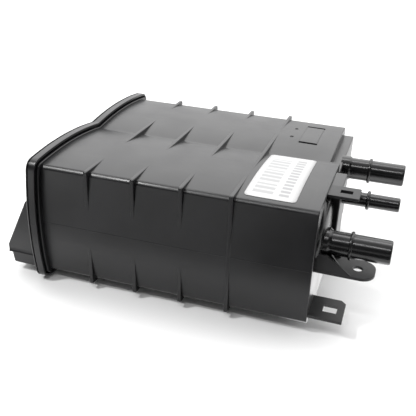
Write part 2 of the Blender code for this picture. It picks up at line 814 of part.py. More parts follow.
def build_inner_pieces():
    """Springs, plates, pads, beds, fleece and grids, stacked from the cap to the ports."""
    plate_start = open_end + spring_length
    pad_start = plate_start + plate_thickness + TOUCH
    bed_start = pad_start + pad_thickness + TOUCH
    near = partition / 2
    divider_near = -(divider_y + divider_wall / 2)
    divider_far = -(divider_y - divider_wall / 2)
    room_floor = port_end - recess_depth - floor_thickness
    floors = {-1: room_floor, 1: rear_end - floor_thickness}

    for word, side in (("front", -1), ("rear", 1)):
        holder = room_solid(f"retention_plate_{word}", plate_start, plate_start + plate_thickness,
                            side, near, None, fit_gap, parts, grey_plastic)
        perforate(holder, f"plate_{word}", side * half_width(0) / 2)
        room_solid(f"cap_filter_{word}", pad_start, pad_start + pad_thickness, side, near, None,
                   fit_gap, parts, foam)
        for place_word, end in (("lower", -1), ("upper", 1)):
            add_spring(f"spring_{word}_{place_word}", side, end, cap_inside)
            join(holder, cylinder(f"plate_boss_{side + 2}_{end + 2}",
                                  spring_diameter / 2 - spring_wire - boss_gap,
                                  (plate_start - boss_height, side * spring_offset,
                                   end * spring_spread), boss_height + BITE, boss_steps))
        grid_end = floors[side] - standoff - TOUCH
        bed_end = grid_end - grid_thickness - filter_thickness - 2 * TOUCH
        bed = room_solid(f"carbon_bed_{word}", bed_start, bed_end, side, near, None, fit_gap,
                         parts, carbon)
        if side < 0:
            cut(bed, box("bed_slot",
                         (floors[side] - divider_length - fit_gap,
                          divider_y - divider_wall / 2 - fit_gap, -body_height),
                         (bed_end + BITE, divider_y + divider_wall / 2 + fit_gap, body_height)))

    for word, side, low, high in (("purge", -1, near, divider_near),
                                  ("tank", -1, divider_far, None),
                                  ("vent", 1, near, None)):
        grid_end = floors[side] - standoff - TOUCH
        grid = room_solid(f"{word}_grid", grid_end - grid_thickness, grid_end, side, low, high,
                          fit_gap, parts, grey_plastic)
        outer = half_width(port_end) - wall if high is None else high
        edges = sorted((side * low, side * outer))
        slot_plate(grid, word, grid_end, edges[0], edges[1], half_height(port_end) - wall)
        fleece_end = grid_end - grid_thickness - TOUCH
        room_solid(f"{word}_filter", fleece_end - filter_thickness, fleece_end, side, low, high,
                   fit_gap, parts, fleece)


def build_label():
    """Paper label that follows the crown of the front lobe."""
    start = port_end - label_to_end - label_length
    end = port_end - label_to_end
    low_y = label_side_inset - half_width(start)
    rows = [label_corner * (1 - math.cos(math.pi / 2 * step / label_corner_steps))
            for step in range(label_corner_steps + 1)]
    inner = label_width - 2 * label_corner
    far_rows = [label_width - across for across in reversed(rows)]
    rows += [label_corner + inner * step / lobe_steps for step in range(1, lobe_steps)]
    rows += far_rows
    bm = bmesh.new()
    edges = []
    for across in rows:
        to_corner = max(0.0, label_corner - across, across - label_width + label_corner)
        trim = label_corner - math.sqrt(max(0.0, label_corner ** 2 - to_corner ** 2))
        y = low_y + across
        pair = []
        for x in (start + trim, end - trim):
            pair.append(bm.verts.new((x, y, top_at(x, y) + TOUCH)))
        edges.append(pair)
    for first, second in zip(edges, edges[1:]):
        bm.faces.new((first[0], first[1], second[1], second[0]))
    bmesh.ops.recalc_face_normals(bm, faces=bm.faces)
    label = mesh_object("label", bm, parts, paper)
    skin = label.modifiers.new("paper", "SOLIDIFY")
    skin.thickness = label_thickness
    skin.offset = 1.0


def smooth_parts():
    """Shade curved faces smooth and keep the real edges sharp."""
    for thing in list(parts.objects) + list(tools.objects):
        if thing.type == "MESH":
            thing.data.shade_smooth()
            thing.data.set_sharp_from_angle(angle=math.radians(30))


canister = build_shell()
shape_port_end(canister)
add_spigots(canister)
add_tabs(canister)
add_ear(canister)
mark_rear_lobe(canister)
hollow_body(canister)
add_inner_walls(canister)
bore_spigots(canister)
build_cap()
build_inner_pieces()
build_label()
smooth_parts()
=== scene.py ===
# %% [markdown]
# A charcoal canister, dressed for the camera
#
# A charcoal canister stores fuel vapour in a car. It is a black moulded housing with two lobes,
# closed by a welded cap, with three hose spigots at the far end. This notebook loads the solid
# parts as a fixed frame, builds finer shells over them and gives every piece its finish.

import json
import math

import bmesh
import bpy
from mathutils import Matrix, Vector


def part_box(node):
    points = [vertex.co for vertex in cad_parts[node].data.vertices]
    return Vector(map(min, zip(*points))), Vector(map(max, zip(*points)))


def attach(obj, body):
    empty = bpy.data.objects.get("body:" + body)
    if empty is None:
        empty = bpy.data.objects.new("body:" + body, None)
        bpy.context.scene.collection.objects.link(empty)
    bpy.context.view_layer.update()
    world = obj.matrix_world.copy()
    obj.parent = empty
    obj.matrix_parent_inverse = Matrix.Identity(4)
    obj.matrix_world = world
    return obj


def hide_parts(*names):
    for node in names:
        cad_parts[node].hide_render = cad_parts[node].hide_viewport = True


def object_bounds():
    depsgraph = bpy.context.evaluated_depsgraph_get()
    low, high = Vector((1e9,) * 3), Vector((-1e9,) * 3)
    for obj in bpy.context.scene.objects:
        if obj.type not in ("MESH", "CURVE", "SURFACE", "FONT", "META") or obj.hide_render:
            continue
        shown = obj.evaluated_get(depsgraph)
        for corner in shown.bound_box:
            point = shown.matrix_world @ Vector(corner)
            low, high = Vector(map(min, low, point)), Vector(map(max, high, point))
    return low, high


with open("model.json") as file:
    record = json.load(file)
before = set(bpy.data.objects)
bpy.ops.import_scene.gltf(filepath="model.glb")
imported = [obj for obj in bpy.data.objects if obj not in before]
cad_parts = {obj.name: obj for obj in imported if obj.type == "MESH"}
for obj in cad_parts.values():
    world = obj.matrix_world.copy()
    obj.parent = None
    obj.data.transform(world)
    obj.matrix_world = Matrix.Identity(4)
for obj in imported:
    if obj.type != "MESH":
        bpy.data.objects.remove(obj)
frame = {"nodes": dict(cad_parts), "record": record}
cad_low, cad_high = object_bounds()
print("solid parts:", len(frame["nodes"]), "size in mm:", [round(s * 1000) for s in cad_high - cad_low])

# %% [markdown]
# Where the canister's own zero is
#
# The housing is easiest to describe from its first hoop rib: X runs to the ports, Y across the
# two lobes, and Z up from mid-height. The frame has its zero under the whole part instead. The
# open end of the housing and the middle of the cap tell where the first rib lies, so nothing is
# fitted by eye.

# %% Find the first rib
MM = 0.001
open_bay = 40.0 * MM
body_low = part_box("canister_body")[0]
cap_low, cap_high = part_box("end_cap")
first_rib = Vector((body_low.x + open_bay, 0.0, (cap_low.z + cap_high.z) / 2))
print("first rib in the frame, mm:", [round(c * 1000, 2) for c in first_rib])

# %% [markdown]
# Sizes of the housing
#
# These are the moulding's main sizes. Each side face bulges and each lobe of the top is crowned,
# because a thin flat wall would drum and sink. The walls also narrow towards the ports so that
# the moulding leaves its tool. What cuts or joins reaches a little past the face that it meets,
# because two faces in one plane would leave rags.

# %% Sizes
body_width = 171.2 * MM
body_height = 83.4 * MM
side_draft = 0.011
top_draft = 0.0025
top_crown = 2.45 * MM
side_crown = 3.3 * MM
crown_peak = 0.447
port_crown = 0.5
corner_leg = 3.0 * MM
valley_round = 1.6 * MM
wall = 2.5 * MM
partition = 2.5 * MM
edge = 0.8 * MM
past = 1.0 * MM

hoop_count = 4
hoop_pitch = 33.5 * MM
last_hoop = (hoop_count - 1) * hoop_pitch
port_end = last_hoop + 54.5 * MM
lobe_lead = 7.0 * MM
rear_end = port_end - lobe_lead
open_end = -open_bay
spigot_reach = 45.0 * MM
tip_plane = port_end + spigot_reach
crown_holds_to = last_hoop - hoop_pitch
print("housing from", round(open_end / MM, 1), "to", round(port_end / MM, 1), "mm")


# %% [markdown]
# Walls and crown
#
# How wide, how high and how crowned the housing is can be asked at any place along it. Small
# functions answer that, so the shell, the label, the marks and the rooms inside all follow the
# same surface. The valley between the lobes turns gently, as a milled tool leaves it.

# %% Walls and crown
def half_width(x):
    return body_width / 2 - side_draft * x


def half_height(x):
    return body_height / 2 - top_draft * x


def crown_share(x):
    """How much of the crown is left at x. It fades from the third hoop to the ports."""
    beyond = max(0.0, x - crown_holds_to) / (port_end - crown_holds_to)
    return 1 - (1 - port_crown) * beyond


def soft_distance(y):
    """Distance from the middle that turns gently instead of with a kink."""
    y = abs(y)
    return y if y > valley_round else y * y / (2 * valley_round) + valley_round / 2


def lobe_rise(share):
    return top_crown * (1 - ((share - crown_peak) / crown_peak) ** 2)


def top_at(x, y):
    """Height of the top surface over a point of the housing."""
    run = half_width(x) - corner_leg
    return half_height(x) + crown_share(x) * lobe_rise(max(0.0, 1 - soft_distance(y) / run))


print("top of the front lobe at the first rib, mm:", round(top_at(0.0, body_width / 4) / MM, 2))

# %% [markdown]
# The outline at any place
#
# A loft needs the same number of points in every ring. One function therefore gives a quarter of
# the outline, from the valley between the lobes over the crown and round the corner to mid-height,
# and the other three quarters are its mirror images. The corner is one round bend that leaves the
# crown and meets the side without a kink, so that lights slide over it as they do over the real
# edge. The bends of the flange and the cap, which are larger, are squarer than the shell's. The
# tiny step at mid-height is the parting line of the moulding tool.

# %% Outline of the shell
LOBE_STEPS = 30
SIDE_STEPS = 22
VALLEY_SHARES = (0.0, 0.35, 0.7)
shell_squareness = 1.6
grown_squareness = 2.3
grown_from = 0.5 * MM
parting_out = 0.12 * MM
parting_half = 0.1 * MM
parting_fade = 0.3 * MM


def quarter_turn(steps):
    """Angles from nothing to a right angle."""
    return [math.pi / 2 * step / steps for step in range(steps + 1)]


def round_corner(before, top_end, side_end, after, squareness, steps=12):
    """Points of one bend from the crown to the side. A squareness of 2 makes it a plain ellipse."""
    before, top_end, side_end, after = (Vector(point) for point in (before, top_end, side_end, after))
    along = top_end - before
    down = after - side_end
    corner = top_end + along * ((side_end - top_end).cross(down) / along.cross(down))
    points = []
    for angle in quarter_turn(steps):
        across = 1 - math.sin(angle) ** (2 / squareness)
        up = 1 - abs(math.cos(angle)) ** (2 / squareness)
        points.append(corner + (top_end - corner) * across + (side_end - corner) * up)
    return [(point.x, point.y) for point in points]


def quarter(x, side_grow=0.0, top_grow=0.0, parting=parting_out):
    """Outline from the valley over one lobe to mid-height, as (y, z) points."""
    leg = corner_leg + min(side_grow, top_grow)
    half_w = half_width(x) + side_grow
    half_h = half_height(x) + top_grow
    run = half_w - leg
    rise = half_h - leg
    share = crown_share(x)
    places = [part * valley_round for part in VALLEY_SHARES]
    places += [valley_round + (run - valley_round) * step / LOBE_STEPS
               for step in range(LOBE_STEPS + 1)]
    top = [(y, half_h + share * lobe_rise(1 - soft_distance(y) / run)) for y in places]
    side = []
    for step in range(SIDE_STEPS):
        z = rise * (1 - step / SIDE_STEPS)
        side.append((half_w + share * side_crown * (1 - (z / rise) ** 2), z))
    widest = half_w + share * side_crown
    side += [(widest, parting_fade), (widest + parting, parting_half)]
    squareness = grown_squareness if min(side_grow, top_grow) > grown_from else shell_squareness
    return top[:-1] + round_corner(top[-2], top[-1], side[0], side[1], squareness) + side[1:]


def ring(x, side_grow=0.0, top_grow=0.0, parting=parting_out):
    """The whole outline at x."""
    first = quarter(x, side_grow, top_grow, parting)
    around = first + [(y, -z) for y, z in reversed(first)]
    around += [(-y, -z) for y, z in first[1:]]
    around += [(-y, z) for y, z in reversed(first[1:])]
    return [(x, y, z) for y, z in around]


def front_ring(x, grow=0.0):
    """Outline of the front lobe alone, closed by a wall at the partition."""
    first = quarter(x, grow, grow)[1:]
    far = partition / 2 + grow
    around = [(-y, z) for y, z in reversed(first)]
    around += [(far, first[0][1]), (far, -first[0][1])]
    around += [(-y, -z) for y, z in first]
    return [(x, y, z) for y, z in around]


print("points in one ring:", len(ring(0.0)))


# %% [markdown]
# Wiring a finish
#
# A procedural finish is a small net of nodes. Adding each node by hand takes five lines and hides
# what the finish does, so a class takes that over: it sets a node's inputs, links what comes from
# other nodes, and hands on the output. The textures read the position in the piece itself, so the
# pattern stays put on the surface in every view.

# %% Wiring
class Wiring:
    """Adds nodes to a material or a world. Each helper hands on what its node puts out."""

    def __init__(self, tree, coordinates):
        self.nodes = tree.nodes
        self.links = tree.links
        self.place = self.nodes.new("ShaderNodeTexCoord").outputs[coordinates]

    def feed(self, made, inputs):
        """Set inputs of a node, each to a value or to the output of another node."""
        for name, value in inputs.items():
            if isinstance(value, bpy.types.NodeSocket):
                self.links.new(value, made.inputs[name])
            else:
                made.inputs[name].default_value = value

    def node(self, kind, output, inputs, **settings):
        """Add a node, set it up and hand on one of its outputs."""
        made = self.nodes.new(kind)
        for name, value in settings.items():
            setattr(made, name, value)
        self.feed(made, inputs)
        return made.outputs[output]

    def noise(self, scale, detail=3.0, source=None):
        where = self.place if source is None else source
        return self.node("ShaderNodeTexNoise", "Fac", {"Vector": where, "Scale": scale, "Detail": detail})

    def axis(self, name, source=None):
        where = self.place if source is None else source
        return self.node("ShaderNodeSeparateXYZ", name, {"Vector": where})

    def between(self, source, low, high, spread=(0.35, 0.65), **settings):
        """Map a factor from its own spread to the range from low to high."""
        return self.node("ShaderNodeMapRange", "Result",
                         {"Value": source, "From Min": spread[0], "From Max": spread[1],
                          "To Min": low, "To Max": high}, **settings)

    def maths(self, operation, first, second=0.0):
        return self.node("ShaderNodeMath", "Value", {0: first, 1: second}, operation=operation)

    def mixed(self, factor, first, second):
        """Colour that runs from the first to the second with a factor."""
        ends = [end if isinstance(end, bpy.types.NodeSocket) else (*end, 1.0) for end in (first, second)]
        return self.node("ShaderNodeMix", "Result", {"Factor": factor, "A": ends[0], "B": ends[1]},
                         data_type="RGBA")

    def toned(self, noise, dark, light):
        """Colour that a noise moves between dark and light."""
        return self.mixed(self.between(noise, 0.0, 1.0), dark, light)

    def bumped(self, height, distance, strength=1.0, under=None):
        inputs = {"Height": height, "Distance": distance, "Strength": strength}
        if under is not None:
            inputs["Normal"] = under
        return self.node("ShaderNodeBump", "Normal", inputs)

    def shade(self, inputs):
        """Set or link inputs of the material's own shader."""
        self.feed(self.nodes["Principled BSDF"], inputs)


def new_finish(name):
    """Empty material and its wiring, in the piece's own coordinates."""
    made = bpy.data.materials.new(name)
    made.use_nodes = True
    return made, Wiring(made.node_tree, "Object")


print("helpers of a wiring:", [name for name in vars(Wiring) if not name.startswith("_")])

# %% [markdown]
# The black plastic
#
# The housing is glass-filled nylon. Close up it has a very fine grain, a gloss that wanders a
# little where the melt cooled at different speeds, and walls that are never quite flat. A flat
# colour would look like paint. Here one noise drives the tone and the gloss, and two bumps give
# grain and waviness. The spigots come out of polished steel cores and shine more, and the tabs
# are duller than the walls.

# %% Black plastic
CLOUD_SCALE = 38.0
GRAIN_SCALE = 2600.0
WAVE_SCALE = 22.0
GRAIN_STRENGTH = 0.5


def moulded_plastic(name, dark, light, gloss, grain, waves=0.00012):
    """Moulded plastic: tone, gloss, grain and slow waviness. Grain and waves are depths in metres."""
    made, wires = new_finish(name)
    cloud = wires.noise(CLOUD_SCALE)
    wavy = wires.bumped(wires.noise(WAVE_SCALE, detail=1.0), waves)
    fine = wires.noise(GRAIN_SCALE, detail=2.0)
    wires.shade({"Base Color": wires.toned(cloud, dark, light),
                 "Roughness": wires.between(cloud, *gloss),
                 "Normal": wires.bumped(fine, grain, GRAIN_STRENGTH, wavy)})
    return made


housing_plastic = moulded_plastic("housing_plastic", dark=(0.004, 0.004, 0.0045),
                                  light=(0.007, 0.007, 0.008), gloss=(0.29, 0.36), grain=0.00003)
spigot_plastic = moulded_plastic("spigot_plastic", dark=(0.003, 0.003, 0.0033),
                                 light=(0.005, 0.005, 0.0055), gloss=(0.2, 0.26),
                                 grain=0.0000002, waves=0.000003)
tab_plastic = moulded_plastic("tab_plastic", dark=(0.006, 0.006, 0.0065),
                              light=(0.010, 0.010, 0.011), gloss=(0.42, 0.5), grain=0.00004)
print("plastics:", housing_plastic.name, spigot_plastic.name, tab_plastic.name)

# %% [markdown]
# Lofts, unions and cuts
#
# Most of the housing is a skin through rings, joined to or cut by other shapes. A modifier does
# each union or cut, and all of them are applied at the end in one go. The manifold solver is
# used, because it is quick and exact on closed shapes like these.

# %% Lofts, unions and cuts
scene = bpy.context.scene
cutters = []


def shown(name, bm, finish=None):
    """A mesh object at the first rib, made from a bmesh."""
    mesh = bpy.data.meshes.new(name)
    bm.to_mesh(mesh)
    bm.free()
    if finish:
        mesh.materials.append(finish)
    made = bpy.data.objects.new(name, mesh)
    made.location = first_rib
    scene.collection.objects.link(made)
    return made


def loft(name, rings, finish=None):
    """Closed skin through rings."""
    bm = bmesh.new()
    loops = [[bm.verts.new(point) for point in one] for one in rings]
    for first, second in zip(loops, loops[1:]):
        for index, corner in enumerate(first):
            following = (index + 1) % len(first)
            bm.faces.new((corner, first[following], second[following], second[index]))
    bm.faces.new(loops[0])
    bm.faces.new(loops[-1])
    bmesh.ops.recalc_face_normals(bm, faces=bm.faces)
    return shown(name, bm, finish)


def combine(target, tool, operation):
    change = target.modifiers.new(tool.name, "BOOLEAN")
    change.operation = operation
    change.solver = "MANIFOLD"
    change.material_mode = "TRANSFER"
    change.object = tool
    cutters.append(tool)


def fuse(target, *pieces):
    for piece in pieces:
        combine(target, piece, "UNION")


def carve(target, *pieces):
    for piece in pieces:
        combine(target, piece, "DIFFERENCE")


def rounded_end(x, radius, steps=4):
    """Places and shrinkage of the rings that round an end."""
    return [(x - radius * (1 - math.sin(angle)), -radius * (1 - math.cos(angle)))
            for angle in quarter_turn(steps)[1:]]


print("rings that round an end:", len(rounded_end(port_end, edge)))

# %% [markdown]
# The shell of the housing
#
# The real shell is one moulding whose front lobe reaches 7 mm further than the rear one. It could
# be a stretched box with a bevel, but the crowns fade towards the ports, so a loft through rings
# follows it better. Each end has a row of rings that shrink along a quarter circle, which rounds
# its edge.

# %% Shell
lobe_overlap = 12.0 * MM
lobe_tuck = 0.02 * MM

shell_rings = [ring(open_end), ring(crown_holds_to), ring(rear_end - edge)]
shell_rings += [ring(x, grow, grow) for x, grow in rounded_end(rear_end, edge)]
shell = loft("housing_shell", shell_rings, housing_plastic)

lobe_rings = [front_ring(rear_end - lobe_overlap, -lobe_tuck), front_ring(port_end - edge)]
lobe_rings += [front_ring(x, grow) for x, grow in rounded_end(port_end, edge)]
front_lobe = loft("front_lobe", lobe_rings, housing_plastic)
fuse(shell, front_lobe)
print("faces of the shell and the longer lobe:", len(shell.data.polygons), len(front_lobe.data.polygons))


# %% [markdown]
# Plates with rounded outlines
#
# Hoops, tabs, gussets and the foot are flat plates of some outline. Each outline is a few corners
# with their radii, and a function turns the corners into arcs. The edges of a plate are rounded
# by a bevel before it is joined, since a bevel on the finished union would meet hundreds of
# awkward corners.

# %% Plates
def fillet(before, corner, after, radius, steps):
    """Points of a small arc that replaces a corner."""
    corner = Vector(corner)
    inward = (Vector(before) - corner).normalized()
    onward = (Vector(after) - corner).normalized()
    half_turn = inward.angle(onward) / 2
    reach = radius / math.tan(half_turn)
    centre = corner + (inward + onward).normalized() * radius / math.sin(half_turn)
    start = corner + inward * reach - centre
    sweep = start.angle_signed(corner + onward * reach - centre)
    points = []
    for step in range(steps + 1):
        points.append(centre + Matrix.Rotation(-sweep * step / steps, 2) @ start)
    return [(point.x, point.y) for point in points]


def soften(points, radius, steps=5):
    """Round every corner of a closed outline. A third number on a point is its own radius."""
    rounded = []
    for index, point in enumerate(points):
        own = point[2] if len(point) > 2 else radius
        before = points[index - 1][:2]
        after = points[(index + 1) % len(points)][:2]
        rounded += fillet(before, point[:2], after, own, steps) if own else [point[:2]]
    return rounded


def round_edges(thing, width, segments=3, angle=40):
    bevel = thing.modifiers.new("edges", "BEVEL")
    bevel.width = width
    bevel.segments = segments
    bevel.limit_method = "ANGLE"
    bevel.angle_limit = math.radians(angle)
    return thing


def plate(name, outline, thickness, centre, facing, rounding=0.0, finish=None):
    """Flat piece cut from an outline. Facing is the axis that its broad faces look along."""
    turns = {"X": ("Y", "Z"), "Y": ("X", "Z"), "Z": ("X", "Y")}[facing]
    axes = {"X": Vector((1, 0, 0)), "Y": Vector((0, 1, 0)), "Z": Vector((0, 0, 1))}
    across = axes[turns[0]]
    up = axes[turns[1]]
    deep = axes[facing] * thickness / 2
    rings = [[Vector(centre) + across * a + up * b + side for a, b in outline] for side in (-deep, deep)]
    made = loft(name, rings, finish)
    return round_edges(made, rounding) if rounding else made


print("points of a softened square:", len(soften([(1, 1), (-1, 1), (-1, -1), (1, -1)], 0.1)))

# %% [markdown]
# Hoop ribs and flange
#
# Four hoops stiffen the shell. Each is a flat frame with rounded corners: it stands clear at the
# corners and in the valley, and sinks into the crowns between. Letting the shell swallow a plain
# frame gives exactly that fading edge, which would be hard to draw by hand. The flange at the
# open end follows the lobes, so it is a short loft.

# %% Hoops and flange
hoop_thickness = 2.8 * MM
hoop_side_stand = 2.9 * MM
hoop_top_stand = 2.05 * MM
hoop_corner = 1.5 * MM
hoop_edge = 0.7 * MM

for number in range(hoop_count):
    x = number * hoop_pitch
    across = half_width(x) + hoop_side_stand
    up = half_height(x) + hoop_top_stand
    hoop_outline = soften([(across, up), (-across, up), (-across, -up), (across, -up)], hoop_corner)
    fuse(shell, plate(f"hoop_{number + 1}", hoop_outline, hoop_thickness, (x, 0, 0), "X", hoop_edge,
                      housing_plastic))

flange_thickness = 5.3 * MM
flange_side = 3.6 * MM
flange_top = 1.4 * MM
flange_edge = 0.5 * MM
flange_face = open_end + flange_thickness
flange_steps = [(open_end, 0.0), (flange_face - flange_edge, 0.0)]
flange_steps += rounded_end(flange_face, flange_edge)
flange_rings = [ring(x, flange_side + grow, flange_top + grow) for x, grow in flange_steps]
fuse(shell, loft("flange", flange_rings, housing_plastic))
print("hoops at", [round(number * hoop_pitch / MM, 1) for number in range(hoop_count)], "mm")


# %% [markdown]
# The dome of the tank port
#
# The front lobe ends in a rim round an oval hollow, out of which a dome swells to carry the tank
# spigot. The hollow leaves the dark crescent that the real end shows. A ball would be too pointed
# for the dome, so it is turned from a squarer curve and stretched a little upright.

# %% Dome in its hollow
ROUND_STEPS = 96


def turned(name, profile, centre, finish=None, steps=ROUND_STEPS):
    """Round part on an axis along X. The profile runs from the tip to the root."""
    bm = bmesh.new()
    loops = []
    for radius, along in profile:
        if radius == 0:
            loops.append([bm.verts.new(Vector(centre) + Vector((along, 0, 0)))])
            continue
        loop = []
        for step in range(steps):
            angle = 2 * math.pi * step / steps
            offset = (along, radius * math.cos(angle), radius * math.sin(angle))
            loop.append(bm.verts.new(Vector(centre) + Vector(offset)))
        loops.append(loop)
    for first, second in zip(loops, loops[1:]):
        for index in range(steps):
            following = (index + 1) % steps
            corners = [first[index % len(first)], first[following % len(first)],
                       second[following % len(second)], second[index % len(second)]]
            bm.faces.new(list(dict.fromkeys(corners)))
    bmesh.ops.recalc_face_normals(bm, faces=bm.faces)
    return shown(name, bm, finish)


def oval_outline(half_across, half_up, steps=ROUND_STEPS):
    return [(half_across * math.cos(2 * math.pi * step / steps),
             half_up * math.sin(2 * math.pi * step / steps)) for step in range(steps)]


rim_width = 4.5 * MM
moat_width = 2.0 * MM
recess_depth = 3.2 * MM
dome_rise = 4.6 * MM
dome_half_width = 25.0 * MM
dome_half_height = 25.5 * MM
dome_squareness = 3.4
dome_steps = 28
recess_floor = port_end - recess_depth
dome_y = rim_width + moat_width + dome_half_width - half_width(port_end)
tank_y = 21.0 * MM - half_width(0)
tank_z = half_height(0) - 29.2 * MM

moat_outline = oval_outline(dome_half_width + moat_width, dome_half_height + moat_width)
moat_depth = recess_depth + past
carve(shell, plate("moat", moat_outline, moat_depth, (recess_floor + moat_depth / 2, dome_y, tank_z),
                   "X"))
dome_height = dome_rise + recess_depth
dome_power = 2 / dome_squareness
dome_profile = [(dome_half_width * math.sin(angle) ** dome_power,
                 dome_height * math.cos(angle) ** dome_power)
                for angle in quarter_turn(dome_steps)[:-1]]
dome_profile += [(dome_half_width, -past), (0, -past)]
dome = turned("dome", dome_profile, (0, 0, 0), spigot_plastic)
dome.data.transform(Matrix.Diagonal((1, 1, dome_half_height / dome_half_width, 1)))
dome.data.transform(Matrix.Translation((recess_floor, dome_y, tank_z)))
fuse(shell, dome)
print("dome rises", round(dome_height / MM, 1), "mm from its hollow")


# %% [markdown]
# Purge box and plateau
#
# Beside the dome stands the tall box of the purge port, and the rear lobe ends in a plateau for
# the vent port. On the real part both make room for a filter pad behind the spigot. They are
# plain blocks with rounded edges, sunk into the end.

# %% Purge box and plateau
def block(name, low, high, rounding=0.0, finish=None):
    """Box between two corners of the canister."""
    bm = bmesh.new()
    bmesh.ops.create_cube(bm, size=1.0)
    size = Vector(high) - Vector(low)
    bmesh.ops.scale(bm, vec=size, verts=bm.verts)
    bmesh.ops.translate(bm, vec=(Vector(high) + Vector(low)) / 2, verts=bm.verts)
    made = shown(name, bm, finish)
    return round_edges(made, rounding) if rounding else made


purge_y = -30.0 * MM
purge_z = half_height(0) - 11.8 * MM
purge_half = 15.0 * MM
purge_rise = 7.8 * MM
purge_foot = 20.0 * MM
purge_top = half_height(port_end) - edge
purge_edge = 1.2 * MM
fuse(shell, block("purge_box", (rear_end, purge_y - purge_half, -purge_foot),
                  (port_end + purge_rise, purge_y + purge_half, purge_top), purge_edge,
                  housing_plastic))

vent_y = 25.3 * MM
vent_z = half_height(0) - 12.8 * MM
plateau_top = half_height(rear_end) - 6.2 * MM
plateau_side = half_width(rear_end) - 3.4 * MM
plateau_face = port_end + edge
plateau_root = rear_end - 3.0 * MM
plateau_edge = 1.0 * MM
fuse(shell, block("plateau", (plateau_root, -past, -plateau_top),
                  (plateau_face, plateau_side, plateau_top), plateau_edge, housing_plastic))
print("plateau stands", round((plateau_face - rear_end) / MM, 1), "mm out of the rear lobe")

# %% [markdown]
# Hose spigots
#
# Each spigot is a standard quick-connect end: a smooth tube, a bead that the connector's lock
# snaps behind, and a collar at the root. A cylinder with rings stuck on would show seams, and a
# turned profile makes it in one go.

# %% Spigots
bead_thickness = 2.4 * MM
bead_steps = 12
bead_fullness = 0.8
tip_round = 1.2 * MM
tip_steps = 6
collar_edge = 0.3 * MM
COLLAR_SHARES = ((0.0, 1.6), (0.3, 0.7), (0.8, 0.15))


def spigot(name, tube, bead, bead_to_tip, centre, collar):
    """Quick-connect spigot from the port end to the tip plane."""
    root = port_end - past
    length = tip_plane - root
    radius = tube / 2
    ridge = (bead - tube) / 2
    middle = length - bead_to_tip
    profile = [(0, length)]
    profile += [(radius - tip_round + tip_round * math.cos(angle),
                 length - tip_round + tip_round * math.sin(angle))
                for angle in reversed(quarter_turn(tip_steps))]
    for step in range(bead_steps + 1):
        angle = math.pi * step / bead_steps
        profile.append((radius + ridge * math.sin(angle) ** bead_fullness,
                        middle + bead_thickness / 2 * math.cos(angle)))
    collar_end = port_end + dome_rise + collar - root
    profile += [(radius + out * collar, collar_end + along * collar) for out, along in COLLAR_SHARES]
    profile += [(radius + collar, collar_end - collar_edge), (radius + collar, 0), (0, 0)]
    return turned(name, profile, (root, *centre), spigot_plastic)


large_tube = 15.8 * MM
large_bead = 18.7 * MM
large_bead_to_tip = 25.0 * MM
small_tube = 9.5 * MM
small_bead = 12.9 * MM
small_bead_to_tip = 20.6 * MM
fuse(shell,
     spigot("tank_spigot", large_tube, large_bead, large_bead_to_tip, (tank_y, tank_z),
            collar=1.4 * MM),
     spigot("purge_spigot", small_tube, small_bead, small_bead_to_tip, (purge_y, purge_z),
            collar=1.0 * MM),
     spigot("vent_spigot", large_tube, large_bead, large_bead_to_tip, (vent_y, vent_z),
            collar=0.8 * MM))
print("spigots end", round(spigot_reach / MM, 1), "mm from the port end")

# %% [markdown]
# Clip tabs
#
# The canister hangs in its bracket by two slotted tabs and one ear. The tabs are 2 mm plates, so
# each is an outline with its corners rounded, given a thickness and a fine bevel. The slots are
# cut after the plates have joined the housing.

# %% Tabs
tab_thickness = 2.0 * MM
tab_edge = 0.35 * MM
tab_root = 4.2 * MM
slot_cut = 4.0 * MM
slot_round = 0.3 * MM
side_line = -half_width(port_end)


def tab(name, outline, y, top):
    """Plate that stands out of the port end."""
    centre = (port_end, y, top - tab_thickness / 2)
    return plate(name, outline, tab_thickness, centre, "Z", tab_edge, tab_plastic)


def slot(name, start, end, middle, width, top):
    """Cutter for a slot between two distances from the port end."""
    return block(name, (port_end + start, middle - width / 2, top - slot_cut),
                 (port_end + end, middle + width / 2, top + slot_cut), slot_round)


upper_width = 16.5 * MM
upper_reach = 19.9 * MM
upper_y = side_line + 28.9 * MM + upper_width / 2
upper_top = top_at(port_end, upper_y) - 1.7 * MM
upper_outline = soften([(-past, -upper_width / 2, 0), (upper_reach, -upper_width / 2),
                        (upper_reach, upper_width / 2), (-past, upper_width / 2, 0)],
                       radius=0.6 * MM)
fuse(shell, tab("upper_tab", upper_outline, upper_y, upper_top))
carve(shell, slot("upper_slot", start=7.1 * MM, end=15.1 * MM, middle=upper_y, width=5.0 * MM,
                  top=upper_top))

lower_width = 25.2 * MM
lower_reach = 22.2 * MM
lower_chamfer = 3.3 * MM
lower_y = side_line + 0.4 * MM
lower_top = 7.6 * MM - half_height(port_end)
lower_outline = soften([(-tab_root, 0, 0), (lower_reach, 0), (lower_reach, lower_width - lower_chamfer),
                        (lower_reach - lower_chamfer, lower_width), (-tab_root, lower_width, 0)],
                       radius=0.5 * MM)
fuse(shell, tab("lower_tab", lower_outline, lower_y, lower_top))
carve(shell, slot("lower_slot", start=8.4 * MM, end=17.4 * MM, middle=lower_y + lower_width / 2,
                  width=8.5 * MM, top=lower_top))
print("tabs reach", round(upper_reach / MM, 1), "and", round(lower_reach / MM, 1), "mm")

# %% [markdown]
# Ear and gussets
#
# The ear takes a bolt or a push-in clip, and it stands alone on a thin wall. Three gussets brace
# it, the front one longer than the others. One solid wedge would be simpler, but it would sink as
# it cools, so they are thin plates on edge. The outer two stand a little inside the ear's sides,
# so that no two faces lie in one plane.

